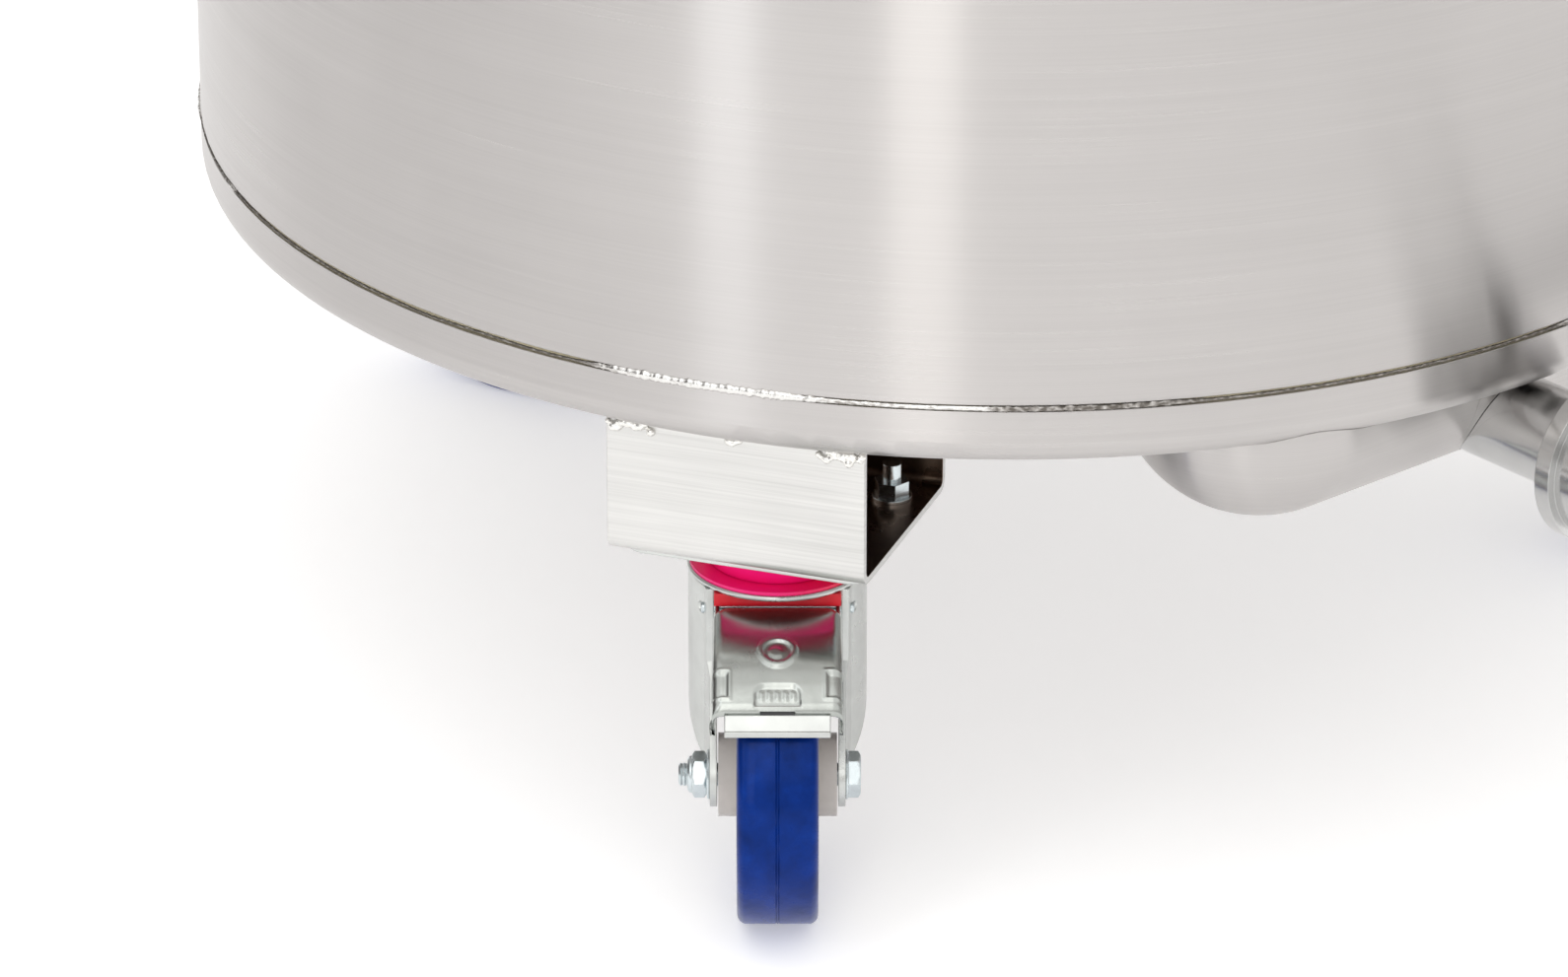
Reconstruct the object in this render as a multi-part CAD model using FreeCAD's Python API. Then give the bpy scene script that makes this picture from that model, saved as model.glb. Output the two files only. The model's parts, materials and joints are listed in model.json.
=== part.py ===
import FreeCAD, Part
import math
import os
from FreeCAD import Placement, Rotation, Vector

# Bulk milk tank: an upright, round, insulated steel tank on three swivel casters.
# Millimetres. The origin is on the floor under the tank's axis, +Z is up, and the outlet faces -Y.
# A bearing is an angle about +Z counted from -Y towards +X.

# ---- casters: the wheel and what stacks above it ----
wheel_r = 62.5
wheel_room = 16.0
tread_wide = 34.0
tread_thick = 15.0
tread_round = 4.0
trail = 39.6
trail_turn = 19.5
hub_boss_r = 17.5
hub_web = 9.0
hub_rim_thick = 6.0
axle_r = 5.0
axle_flats = 17.0
axle_head = 6.4
axle_nut = 9.0
axle_end = 4.0
running_gap = 0.05
fork_half = 28.3
crown_overhang = 9.6
crown_r = fork_half + crown_overhang
crown_thick = 2.5
crown_lip = 0.5
crown_z = 2 * wheel_r + wheel_room
fork_wall = 3.0
fork_neck = 29.0
fork_reach = 14.4
fork_boss_r = 13.5
fork_skirt = 24.0
fork_shoulder = 25.0
fork_shoulder_drop = 33.0
hub_side_gap = 0.6
crown_wall_r = crown_r - crown_lip
fork_front = trail + fork_reach
hub_half = fork_half - fork_wall - hub_side_gap
seal_edge = 1.1
seal_thick = 1.5
race_gap = 0.4
race_r = 29.0
race_top_r = 34.0
race_tall = 12.2
kingpin_r = 6.0
kingpin_nut_flats = 16.0
kingpin_nut = 6.0
cam_gap = 1.9
cam_half = fork_half - cam_gap
cam_back = 11.0
cam_front = 29.5
cam_tall = 5.6
pedal_gap = 1.3
pedal_half = fork_half - pedal_gap
pedal_wall = 1.8
pedal_drop = 2.0
pedal_side = 13.0
pedal_back = cam_front + 2.0
pedal_back_z = crown_z - 5.0
pedal_bend = (52.0, crown_z - 9.2)
pedal_crest = (64.0, crown_z - 13.0)
pedal_knee = (74.0, crown_z - 18.8)
pedal_tip = (93.0, crown_z - 31.5)
pivot_d = 20.0
pivot_z = crown_z - 10.5
pivot_r = 2.5
pivot_ear_r = 4.6
pivot_ear_inset = 1.0

# ---- caster brackets, standing on the caster plates ----
caster_bearings = {"left": -60.0, "right": 60.0, "rear": 180.0}
plate_x = 105.0
plate_y = 85.0
plate_thick = 4.0
plate_corner_r = 8.0
plate_z = crown_z + crown_thick + seal_thick + race_gap + race_tall
bracket_z = plate_z + plate_thick
bracket_tall = 59.9
bracket_depth = 104.5
bracket_half = 56.0
bracket_inset = 12.0
bracket_wall = 3.0
bracket_bend_r = 6.0
corner_weld = 20.0
tack_weld = 5.0
weld_r = 2.4
bolt_x = 40.0
bolt_y = 30.0
bolt_r = 4.0
bolt_hole_gap = 0.4
bolt_head = 2.2
bolt_head_r = 7.5
bolt_flats = 13.0
nut_tall = 6.8
washer_r = 8.5
washer_thick = 1.6
bolt_stand = 7.5

# ---- tank ----
shell_r = 349.0
shell_wall = 1.5
shell_top_z = 985.0
pan_z = bracket_z + bracket_tall
pan_wall = 2.0
pan_knuckle_r = 11.0
pan_side = 26.5
seam_z = pan_z + pan_side
seam_half = 1.5
seam_proud = 0.8
insulation = 49.0
vessel_r = shell_r - insulation
vessel_wall = 2.0
vessel_lift = 49.5
vessel_z = pan_z + vessel_lift
vessel_knuckle_r = 40.0
foam_gap = 0.3
bracket_front = shell_r - bracket_inset

# ---- rim, bridge and lids ----
rim_thick = 2.0
rim_skirt = 20.0
rim_wall = 1.5
rim_gap = 0.3
gasket_inset = 9.0
gasket_wide = 12.0
gasket_thick = 2.7
lid_seat_gap = 0.3
lid_wall = 1.5
lid_skirt = 17.0
lid_rim_gap = 2.0
lid_corner_r = 4.0
bridge_half = 80.0
bridge_thick = 3.0
bridge_flange = 33.0
bridge_side_gap = 4.0
lid_edge_gap = 4.0
lid_lip_inset = 38.0
lid_lip = 14.0
hinge_x = 205.0
hinge_length = 51.0
hinge_slit = 0.5
knuckle_r = 5.0
hinge_pin_r = 2.5
hinge_head = 2.0
hinge_leaf = 20.0
hinge_leaf_thick = 2.0
handle_rod_r = 5.0
handle_half = 55.0
handle_rise = 38.0
handle_bend_r = 14.0
handle_inset = 62.3
handle_foot_r = 10.0
handle_foot = 2.0

# ---- agitator ----
gearbox_x = 110.0
gearbox_y = 100.0
gearbox_z = 60.0
gearbox_round = 12.0
gearbox_foot = 8.0
gearbox_flange = 12.0
motor_r = 55.0
motor_length = 96.0
motor_fin = 4.0
motor_fin_wide = 2.4
motor_fin_count = 24
motor_flange = 10.0
fan_cover_length = 30.0
fan_cover_round = 10.0
terminal_deep = 34.0
terminal_wide = 64.0
terminal_tall = 60.0
terminal_lift = 14.0
terminal_round = 5.0
shaft_r = 8.0
shaft_floor_gap = 29.0
shaft_in_gearbox = 42.0
bridge_bore_gap = 4.0
paddle_reach = 180.0
paddle_tall = 60.0
paddle_thick = 3.0
paddle_tilt = 25.0
paddle_lift = 15.0
hub_tall = 48.0
hub_wall = 6.0

# ---- control box ----
box_x0 = 95.0
box_length = 160.0
box_side_gap = 4.0
box_tall = 108.0
box_slope_run = 38.0
box_slope_drop = 43.0
box_edge_r = 3.0
box_wall = 2.0
panel_length = 142.0
panel_wide = 46.0
panel_thick = 2.0
panel_round = 4.0
knob_r = 11.0
knob_base = 5.0
knob_tall = 14.0
knob_grip = 6.0
knob_x = 48.0
knob_stem = 10.0
button_r = 7.0
button_tall = 5.0
button_stem = 8.0
button_x = 20.0
control_gap = 0.3
display_x = -32.0
display_length = 62.0
display_wide = 26.0
display_proud = 1.0

# ---- dipstick ----
dipstick_x = -222.0
dipstick_wide = 10.0
dipstick_thick = 3.0
dipstick_floor_gap = 11.0
dipstick_grip = 44.0
dipstick_neck = 12.0
dipstick_stop = 4.0
dipstick_gap = 0.4
guide_r = 14.0
guide_tall = 12.0

# ---- outlet ----
pipe_r = 20.5
pipe_wall = 1.5
pipe_room = 3.0
pipe_z = pan_z - pipe_r - pipe_room
pipe_inset = 62.0
pipe_drop_y = pipe_inset - vessel_r
pipe_bend_r = 38.0
pipe_stand = 25.0
pipe_end_y = -shell_r - pipe_stand
sump_r = 60.0
sump_half = 95.0
sump_inset = 18.0
sump_y = sump_r + sump_inset - shell_r
sump_drop = 19.0
sump_wall = 1.5
sump_collar = 3.5
valve_length = 42.0
valve_flange_r = pipe_r + 15.5
valve_waist_r = pipe_r + 8.5
valve_flange = 8.0
thread_r = pipe_r + 12.0
thread_length = 14.0
stem_r = 5.0
stem_boss_r = 10.0
stem_boss_top = valve_flange_r + 10.0
stem_end = 4.0
disc_thick = 3.0
disc_gap = 0.4
lever_length = 122.0
lever_wide = 16.0
lever_thick = 5.0
cap_wall = 7.0
cap_gap = 0.3
cap_start = 2.0
cap_notches = 6
cap_notch_r = 5.0

# ---- cooling ----
evaporator_gap = 9.5
evaporator_r = -pipe_drop_y - pipe_r - evaporator_gap
evaporator_thick = 6.0
stub_r = 6.0
stub_wall = 1.0
stub_x = 32.0
stub_out = 34.0
stub_nut_flats = 17.0
stub_nut_length = 16.0


# ---- helpers ----
def block(x0, x1, y0, y1, z0, z1):
    return Part.makeBox(x1 - x0, y1 - y0, z1 - z0, Vector(x0, y0, z0))


def rod(r, start, end):
    start = Vector(*start)
    way = Vector(*end) - start
    return Part.makeCylinder(r, way.Length, start, way)


def upright(r, z0, z1, x=0.0, y=0.0):
    return rod(r, (x, y, z0), (x, y, z1))


def joined(*shapes):
    return shapes[0].fuse(list(shapes[1:])).removeSplitter()


def turned(shape, bearing, shift=(0.0, 0.0, 0.0)):
    copy = shape.copy()
    copy.translate(Vector(*shift))
    copy.rotate(Vector(0, 0, 0), Vector(0, 0, 1), bearing)
    return copy


def outline(start, *steps):
    """Closed wire in the XZ plane; a step is an end point, or a (middle, end) pair for an arc."""
    edges = []
    here = start
    for step in steps + (start,):
        if isinstance(step[0], tuple):
            middle, end = step
            edges.append(Part.Arc(*[Vector(x, 0, z) for x, z in (here, middle, end)]).toShape())
        else:
            end = step
            edges.append(Part.LineSegment(*[Vector(x, 0, z) for x, z in (here, end)]).toShape())
        here = end
    return Part.Wire(edges)


def revolved(start, *steps):
    return Part.Face(outline(start, *steps)).revolve(Vector(0, 0, 0), Vector(0, 0, 1), 360)


def on_arc(centre, r, degrees):
    turn = math.radians(degrees)
    return (centre[0] + r * math.cos(turn), centre[1] + r * math.sin(turn))


def corner_arc(centre, r, from_degrees, to_degrees):
    return (on_arc(centre, r, (from_degrees + to_degrees) / 2), on_arc(centre, r, to_degrees))


def side_slab(points, half):
    """Prism across X, symmetric about X=0, from (forward, height) points; forward is -Y."""
    corners = [Vector(-half, -d, z) for d, z in points]
    return Part.Face(Part.makePolygon(corners + corners[:1])).extrude(Vector(2 * half, 0, 0))


def plan_slab(points, z0, z1):
    corners = [Vector(x, y, z0) for x, y in points]
    return Part.Face(Part.makePolygon(corners + corners[:1])).extrude(Vector(0, 0, z1 - z0))


def hexagon(flats, z0, z1):
    r = flats / 2 / math.cos(math.pi / 6)
    points = [on_arc((0.0, 0.0), r, 60 * i) for i in range(6)]
    return plan_slab(points, z0, z1)


def tangent_point(point, centre, r, side):
    """Where a line from point touches the circle; side is +1 or -1."""
    dx, dz = point[0] - centre[0], point[1] - centre[1]
    turn = math.degrees(math.atan2(dz, dx)) + side * math.degrees(math.acos(r / math.hypot(dx, dz)))
    return on_arc(centre, r, turn)


def along_x(shape):
    """Turn a shape made along Z so that it lies along X."""
    copy = shape.copy()
    copy.rotate(Vector(0, 0, 0), Vector(0, 1, 0), 90)
    return copy


def along_minus_y(shape):
    copy = shape.copy()
    copy.rotate(Vector(0, 0, 0), Vector(1, 0, 0), 90)
    return copy


def is_upright(edge):
    return abs(edge.tangentAt(edge.FirstParameter).z) > 0.9


def rounded(shape, r, picks):
    edges = [edge for edge in shape.Edges if picks(edge)]
    return shape.makeFillet(r, edges)


def export(name, *shapes):
    shape = shapes[0] if len(shapes) == 1 else Part.makeCompound(list(shapes))
    shape.exportStep(f"parts/{name}.step")


# ---- tank body ----
def pan_volume(inset, top_z):
    """Everything inside the bottom pan's outside face, set in by a wall."""
    centre = (shell_r - pan_knuckle_r, pan_z + pan_knuckle_r)
    r = pan_knuckle_r - inset
    return revolved(
        (0.0, pan_z + inset),
        (centre[0], pan_z + inset),
        corner_arc(centre, r, -90, 0),
        (shell_r - inset, top_z),
        (0.0, top_z),
    )


def vessel_volume(inset, top_z):
    centre = (vessel_r - vessel_knuckle_r, vessel_z + vessel_knuckle_r)
    r = vessel_knuckle_r - inset
    return revolved(
        (0.0, vessel_z + inset),
        (centre[0], vessel_z + inset),
        corner_arc(centre, r, -90, 0),
        (vessel_r - inset, top_z),
        (0.0, top_z),
    )


def drop_pipe(r):
    """The outlet pipe's round: down from the vessel, a quarter bend, and forward to the valve."""
    bend_z = pipe_z + pipe_bend_r
    bend_y = pipe_drop_y - pipe_bend_r
    down = rod(r, (0, pipe_drop_y, vessel_z), (0, pipe_drop_y, bend_z))
    disc = Part.Face(Part.Wire(Part.makeCircle(r, Vector(0, pipe_drop_y, bend_z), Vector(0, 0, 1))))
    bend = disc.revolve(Vector(0, bend_y, bend_z), Vector(1, 0, 0), -90)
    forward = rod(r, (0, bend_y, pipe_z), (0, pipe_end_y, pipe_z))
    return joined(down, bend, forward)


def stub_rods(r):
    """The two refrigerant lines' rounds, from the evaporator's edge out through the shell's back."""
    z = vessel_z - foam_gap - stub_r
    end_y = shell_r + stub_out
    return [rod(r, (x, math.sqrt(evaporator_r**2 - x**2), z), (x, end_y, z)) for x in (-stub_x, stub_x)]


def make_shell():
    z0 = seam_z + seam_half
    shell = upright(shell_r, z0, shell_top_z).cut(upright(shell_r - shell_wall, z0, shell_top_z))
    return shell.cut(stub_rods(stub_r + foam_gap))


def make_pan():
    pan = pan_volume(0.0, seam_z - seam_half).cut(pan_volume(pan_wall, seam_z))
    return pan.cut(drop_pipe(pipe_r + foam_gap))


def make_seam():
    low, high = seam_z - seam_half, seam_z + seam_half
    inner = shell_r - shell_wall
    return revolved(
        (inner, low),
        (shell_r, low),
        ((shell_r + seam_proud, seam_z), (shell_r, high)),
        (inner, high),
    )


def make_vessel():
    vessel = vessel_volume(0.0, shell_top_z).cut(vessel_volume(vessel_wall, shell_top_z + 1))
    return vessel.cut(upright(pipe_r - pipe_wall, vessel_z - 1, vessel_z + vessel_wall + 1, y=pipe_drop_y))


def make_evaporator():
    return upright(evaporator_r, vessel_z - evaporator_thick, vessel_z)


def make_foam():
    top = shell_top_z - foam_gap
    outside = pan_volume(pan_wall + foam_gap, top)
    inside = vessel_volume(-foam_gap, shell_top_z + 1)
    plate = upright(evaporator_r + foam_gap, vessel_z - evaporator_thick - foam_gap, vessel_z + 1)
    return outside.cut([inside, plate, drop_pipe(pipe_r + foam_gap)] + stub_rods(stub_r + foam_gap))


def make_stubs():
    solids = []
    for tube, bore in zip(stub_rods(stub_r), stub_rods(stub_r - stub_wall)):
        solids.append(tube.cut(bore))
    y0 = shell_r + stub_out
    z = vessel_z - foam_gap - stub_r
    for x in (-stub_x, stub_x):
        nut = along_minus_y(hexagon(stub_nut_flats, 0, stub_nut_length))
        nut.rotate(Vector(0, 0, 0), Vector(0, 0, 1), 180)
        nut.translate(Vector(x, y0, z))
        solids.append(nut)
    return solids


# ---- rim, bridge and lids ----
rim_top_z = shell_top_z + rim_thick
lid_z = rim_top_z + gasket_thick + lid_seat_gap
lid_top_z = lid_z + lid_wall
bridge_top_z = lid_z + bridge_thick
rim_out_r = shell_r + rim_gap + rim_wall
lid_out_r = rim_out_r + lid_rim_gap + lid_wall
lid_edge = bridge_half + lid_edge_gap
hinge_y = bridge_half + lid_edge_gap / 2
hinge_z = bridge_top_z + knuckle_r


def make_rim():
    low = rim_top_z - rim_skirt
    inner = vessel_r - vessel_wall
    return revolved(
        (inner, shell_top_z),
        (shell_r + rim_gap, shell_top_z),
        (shell_r + rim_gap, low),
        (rim_out_r, low),
        (rim_out_r, rim_top_z),
        (inner, rim_top_z),
    )


def make_gasket():
    outer = shell_r - gasket_inset
    ring = upright(outer, rim_top_z, rim_top_z + gasket_thick)
    ring = ring.cut(upright(outer - gasket_wide, rim_top_z, rim_top_z + gasket_thick))
    half = bridge_half + rim_gap
    ring = ring.cut(block(-shell_r, shell_r, -half, half, rim_top_z - 1, lid_z))
    return ring.Solids


def knuckles(side, for_lid):
    """Hinge barrels of one lid; the lid holds the middle third of each and the bridge the rest."""
    third = hinge_length / 3
    spans = [(third, 2 * third)] if for_lid else [(0.0, third), (2 * third, hinge_length)]
    inset = hinge_slit / 2
    solids = []
    for centre in (-hinge_x, hinge_x):
        for start, end in spans:
            x0 = centre - hinge_length / 2 + start + inset
            x1 = centre - hinge_length / 2 + end - inset
            barrel = rod(knuckle_r, (x0, side * hinge_y, hinge_z), (x1, side * hinge_y, hinge_z))
            if for_lid:
                ys = sorted((side * hinge_y, side * (lid_edge + hinge_leaf)))
                leaf = block(x0, x1, ys[0], ys[1], lid_top_z, lid_top_z + hinge_leaf_thick)
            else:
                ys = sorted((side * hinge_y, side * (bridge_half - hinge_leaf)))
                leaf = block(x0, x1, ys[0], ys[1], bridge_top_z, bridge_top_z + hinge_leaf_thick)
            bore = rod(
                hinge_pin_r + running_gap,
                (x0 - 1, side * hinge_y, hinge_z),
                (x1 + 1, side * hinge_y, hinge_z),
            )
            solids.append(joined(barrel, leaf).cut(bore))
    return solids


def make_hinge_pins():
    pins = []
    for side in (-1, 1):
        for centre in (-hinge_x, hinge_x):
            x0, x1 = centre - hinge_length / 2, centre + hinge_length / 2
            pin = rod(hinge_pin_r, (x0, side * hinge_y, hinge_z), (x1, side * hinge_y, hinge_z))
            head = rod(knuckle_r - 1, (x0 - hinge_head, side * hinge_y, hinge_z), (x0, side * hinge_y, hinge_z))
            pins.append(joined(pin, head))
    return pins


def make_bridge():
    """Fixed centre strip: a folded channel that sits on the rim and carries the agitator."""
    inside_r = vessel_r - vessel_wall - bridge_side_gap
    plate = block(-shell_r, shell_r, -bridge_half, bridge_half, lid_z, bridge_top_z)
    plate = plate.common(upright(rim_out_r, lid_z, bridge_top_z))
    pieces = [plate]
    for side in (-1, 1):
        y0, y1 = sorted((side * bridge_half, side * (bridge_half - bridge_thick)))
        foot = block(-shell_r, shell_r, y0, y1, rim_top_z, lid_z)
        web = block(-inside_r, inside_r, y0, y1, lid_z - bridge_flange, lid_z)
        pieces.append(foot.common(upright(rim_out_r, rim_top_z, lid_z)))
        pieces.append(web.common(upright(inside_r, lid_z - bridge_flange, lid_z)))
    pieces.append(upright(guide_r, bridge_top_z, bridge_top_z + guide_tall, x=dipstick_x))
    bridge = joined(*pieces, *knuckles(-1, False), *knuckles(1, False))
    slot_x = dipstick_wide / 2 + dipstick_gap
    slot_y = dipstick_thick / 2 + dipstick_gap
    slot = block(
        dipstick_x - slot_x, dipstick_x + slot_x, -slot_y, slot_y, lid_z - 1, bridge_top_z + guide_tall + 1
    )
    bore = upright(shaft_r + bridge_bore_gap, lid_z - 1, bridge_top_z + 1)
    return bridge.cut([slot, bore])


def make_lid(side):
    """Half lid: a pressed cover with a turned-down skirt, and a short lip along its hinge edge."""
    inner = lid_out_r - lid_wall
    low = lid_top_z - lid_skirt
    centre = (lid_out_r - lid_corner_r, lid_top_z - lid_corner_r)
    cover = revolved(
        (0.0, lid_z),
        (centre[0], lid_z),
        corner_arc(centre, lid_corner_r - lid_wall, 90, 0),
        (inner, low),
        (lid_out_r, low),
        (lid_out_r, centre[1]),
        corner_arc(centre, lid_corner_r, 0, 90),
        (0.0, lid_top_z),
    )
    reach = lid_out_r + 1
    y0, y1 = sorted((side * lid_edge, side * reach))
    half = cover.common(block(-reach, reach, y0, y1, low - 1, lid_top_z + 1))
    lip_y0, lip_y1 = sorted((side * lid_edge, side * (lid_edge + lid_wall)))
    lip_half = vessel_r - lid_lip_inset
    lip = block(-lip_half, lip_half, lip_y0, lip_y1, lid_z - lid_lip, lid_z)
    return joined(half, lip, *knuckles(side, True))


def make_handle(side):
    """Bent rod handle, standing on the half lid near its outer edge."""
    y = side * (lid_out_r - handle_inset)
    bar_z = lid_top_z + handle_rise
    straight = handle_half - handle_bend_r
    pieces = [rod(handle_rod_r, (-straight, y, bar_z), (straight, y, bar_z))]
    for way in (-1, 1):
        centre = Vector(way * straight, y, bar_z - handle_bend_r)
        circle = Part.makeCircle(handle_rod_r, Vector(way * straight, y, bar_z), Vector(1, 0, 0))
        disc = Part.Face(Part.Wire(circle))
        pieces.append(disc.revolve(centre, Vector(0, 1, 0), way * 90))
        post_x = way * handle_half
        pieces.append(rod(handle_rod_r, (post_x, y, lid_top_z), (post_x, y, bar_z - handle_bend_r)))
        pieces.append(upright(handle_foot_r, lid_top_z, lid_top_z + handle_foot, x=post_x, y=y))
    return joined(*pieces)


# ---- agitator ----
gearbox_top_z = bridge_top_z + gearbox_z
motor_top_z = gearbox_top_z + motor_length
shaft_low_z = vessel_z + shaft_floor_gap


def make_gearbox():
    body = block(-gearbox_x / 2, gearbox_x / 2, -gearbox_y / 2, gearbox_y / 2, bridge_top_z, gearbox_top_z)
    reach = gearbox_x / 2 + gearbox_flange
    foot_z = bridge_top_z + gearbox_foot
    foot = block(-reach, reach, -gearbox_y / 2, gearbox_y / 2, bridge_top_z, foot_z)
    body, foot = [rounded(shape, gearbox_round, is_upright) for shape in (body, foot)]
    body = joined(body, foot)
    return body.cut(upright(shaft_r + running_gap, bridge_top_z - 1, bridge_top_z + shaft_in_gearbox + 1))


def make_motor():
    """Finned motor barrel."""
    core = upright(motor_r - motor_fin, gearbox_top_z, motor_top_z)
    flange_z = gearbox_top_z + motor_flange
    flange = upright(motor_r, gearbox_top_z, flange_z)
    fin = block(0, motor_r, -motor_fin_wide / 2, motor_fin_wide / 2, flange_z, motor_top_z)
    fins = [turned(fin, 360.0 * i / motor_fin_count) for i in range(motor_fin_count)]
    return joined(core, flange, *fins)


def make_fan_cover():
    top_z = motor_top_z + fan_cover_length
    cover = upright(motor_r + 1, motor_top_z, top_z)
    return rounded(cover, fan_cover_round, lambda e: e.BoundBox.ZMin > top_z - 0.1)


def make_terminal_box():
    x1 = -motor_r - control_gap
    z0 = gearbox_top_z + terminal_lift
    body = block(x1 - terminal_deep, x1, -terminal_wide / 2, terminal_wide / 2, z0, z0 + terminal_tall)
    return rounded(body, terminal_round, lambda e: abs(e.tangentAt(e.FirstParameter).x) > 0.9)


def make_shaft():
    return upright(shaft_r, shaft_low_z, bridge_top_z + shaft_in_gearbox)


def make_paddle():
    paddle_z = shaft_low_z + paddle_lift
    hub = upright(shaft_r + hub_wall, paddle_z, paddle_z + hub_tall)
    pieces = [hub]
    for way in (0, 180):
        half_y, half_z = paddle_thick / 2, paddle_tall / 2
        blade = block(shaft_r + hub_wall / 2, paddle_reach, -half_y, half_y, -half_z, half_z)
        blade.rotate(Vector(0, 0, 0), Vector(1, 0, 0), paddle_tilt)
        blade.translate(Vector(0, 0, paddle_z + hub_tall / 2))
        pieces.append(turned(blade, way))
    return joined(*pieces).cut(upright(shaft_r, shaft_low_z, shaft_low_z + 2 * paddle_tall))


# ---- control box ----
box_mid_x = box_x0 + box_length / 2
box_half = bridge_half - hinge_leaf - box_side_gap
slope_mid = (box_half - box_slope_run / 2, bridge_top_z + box_tall - box_slope_drop / 2)
slope_turn = math.degrees(math.atan2(box_slope_drop, box_slope_run))


def on_slope(shape):
    """Place a shape made about the origin onto the box's sloping face, with its +Z facing out."""
    copy = shape.copy()
    copy.Placement = Placement(
        Vector(box_mid_x, -slope_mid[0], slope_mid[1]), Rotation(Vector(1, 0, 0), slope_turn)
    ).multiply(copy.Placement)
    return copy


def box_volume(inset):
    """The control box's outside, set in by a wall and left open underneath."""
    top_z = bridge_top_z + box_tall - inset
    half = box_half - inset
    points = [
        (-half, bridge_top_z - inset), (half, bridge_top_z - inset), (half, top_z - box_slope_drop),
        (half - box_slope_run, top_z), (-half, top_z),
    ]
    volume = side_slab(points, box_length / 2 - inset)
    volume.translate(Vector(box_mid_x, 0, 0))
    return volume


def make_control_box():
    box = rounded(box_volume(0.0), box_edge_r, lambda e: e.BoundBox.ZMax > bridge_top_z + 1)
    box = box.cut(box_volume(box_wall))
    stems = [upright(r, -knob_stem - 2, 1, x=x) for x, r in ((knob_x, stem_r), (button_x, button_r + control_gap))]
    return box.cut([on_slope(stem) for stem in stems])


def make_panel():
    panel = block(-panel_length / 2, panel_length / 2, -panel_wide / 2, panel_wide / 2, 0, panel_thick)
    panel = rounded(panel, panel_round, is_upright)
    x0, x1 = display_x - display_length / 2, display_x + display_length / 2
    screen = block(x0, x1, -display_wide / 2, display_wide / 2, 0, panel_thick + display_proud)
    holes = [upright(r + control_gap, -1, knob_tall, x=x) for x, r in ((knob_x, stem_r), (button_x, button_r))]
    return on_slope(joined(panel, screen).cut(holes))


def make_knob():
    z0 = panel_thick + control_gap
    grip = knob_r - 1
    knob = joined(
        upright(knob_r, z0, z0 + knob_base, x=knob_x),
        block(knob_x - grip, knob_x + grip, -knob_grip / 2, knob_grip / 2, z0, z0 + knob_tall),
        upright(stem_r - control_gap, -knob_stem, z0 + 1, x=knob_x),
    )
    return on_slope(knob)


def make_button():
    return on_slope(upright(button_r, -button_stem, panel_thick + button_tall, x=button_x))


# ---- dipstick ----
def make_dipstick():
    top_z = bridge_top_z + guide_tall
    half_x, half_y = dipstick_wide / 2, dipstick_thick / 2
    low_z = vessel_z + vessel_wall + dipstick_floor_gap
    neck_z = top_z + dipstick_neck
    bar = block(dipstick_x - half_x, dipstick_x + half_x, -half_y, half_y, low_z, neck_z)
    reach = dipstick_grip / 2
    grip_z = neck_z + handle_rod_r
    grip = rod(handle_rod_r, (dipstick_x, -reach, grip_z), (dipstick_x, reach, grip_z))
    stop = upright(guide_r - 3, top_z, top_z + dipstick_stop, x=dipstick_x)
    return joined(bar, grip, stop)


# ---- outlet ----
sump_z = seam_z - sump_drop
valve_y = pipe_end_y - valve_length / 2
thread_y = pipe_end_y - valve_length


def make_sump():
    """Round-ended housing under the front rim: two ends and, around the outlet pipe, a collar in two halves."""
    def capsule(r):
        ends = [Part.makeSphere(r, Vector(x, sump_y, sump_z)) for x in (-sump_half, sump_half)]
        return joined(rod(r, (-sump_half, sump_y, sump_z), (sump_half, sump_y, sump_z)), *ends)
    shell = capsule(sump_r).cut(capsule(sump_r - sump_wall))
    shell = shell.cut([pan_volume(0.0, sump_z + 2 * sump_r), drop_pipe(pipe_r + foam_gap)])
    reach = sump_half + sump_r
    collar = pipe_r + sump_collar
    spans = ((-reach, -collar), (-collar, 0.0), (0.0, collar), (collar, reach))
    return [shell.common(block(x0, x1, sump_y - sump_r, sump_y + sump_r, 0, seam_z)) for x0, x1 in spans]


def make_outlet_pipe():
    return drop_pipe(pipe_r).cut(drop_pipe(pipe_r - pipe_wall))


def about_outlet(shape, y):
    """Lay a shape made along +Z onto the outlet's line, starting at y and running forward."""
    copy = along_minus_y(shape)
    copy.translate(Vector(0, y, pipe_z))
    return copy


def make_valve_body():
    pieces = [
        upright(valve_flange_r, 0, valve_flange),
        upright(valve_waist_r, 0, valve_length),
        upright(valve_flange_r, valve_length - valve_flange, valve_length),
        upright(thread_r, 0, valve_length + thread_length),
    ]
    body = about_outlet(joined(*pieces), pipe_end_y)
    boss = upright(stem_boss_r, pipe_z, pipe_z + stem_boss_top, y=valve_y)
    bore = about_outlet(upright(pipe_r - pipe_wall, -1, valve_length + thread_length + 1), pipe_end_y)
    stem = upright(stem_r + running_gap, pipe_z - pipe_r, pipe_z + stem_boss_top + 1, y=valve_y)
    return joined(body, boss).cut([bore, stem])


def make_valve_disc():
    r = pipe_r - pipe_wall - disc_gap
    disc = rod(r, (0, valve_y - disc_thick / 2, pipe_z), (0, valve_y + disc_thick / 2, pipe_z))
    stem = upright(stem_r, pipe_z - r, pipe_z + stem_boss_top + lever_thick + stem_end, y=valve_y)
    return joined(disc, stem)


def make_lever():
    z0 = pipe_z + stem_boss_top + control_gap
    hub = upright(stem_boss_r, z0, z0 + lever_thick + stem_end, y=valve_y)
    arm = block(0, lever_length, valve_y - lever_wide / 2, valve_y + lever_wide / 2, z0, z0 + lever_thick)
    tip = upright(lever_wide / 2, z0, z0 + lever_thick, x=lever_length, y=valve_y)
    return joined(hub, arm, tip).cut(upright(stem_r, z0 - 1, z0 + 2 * lever_wide, y=valve_y))


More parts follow.
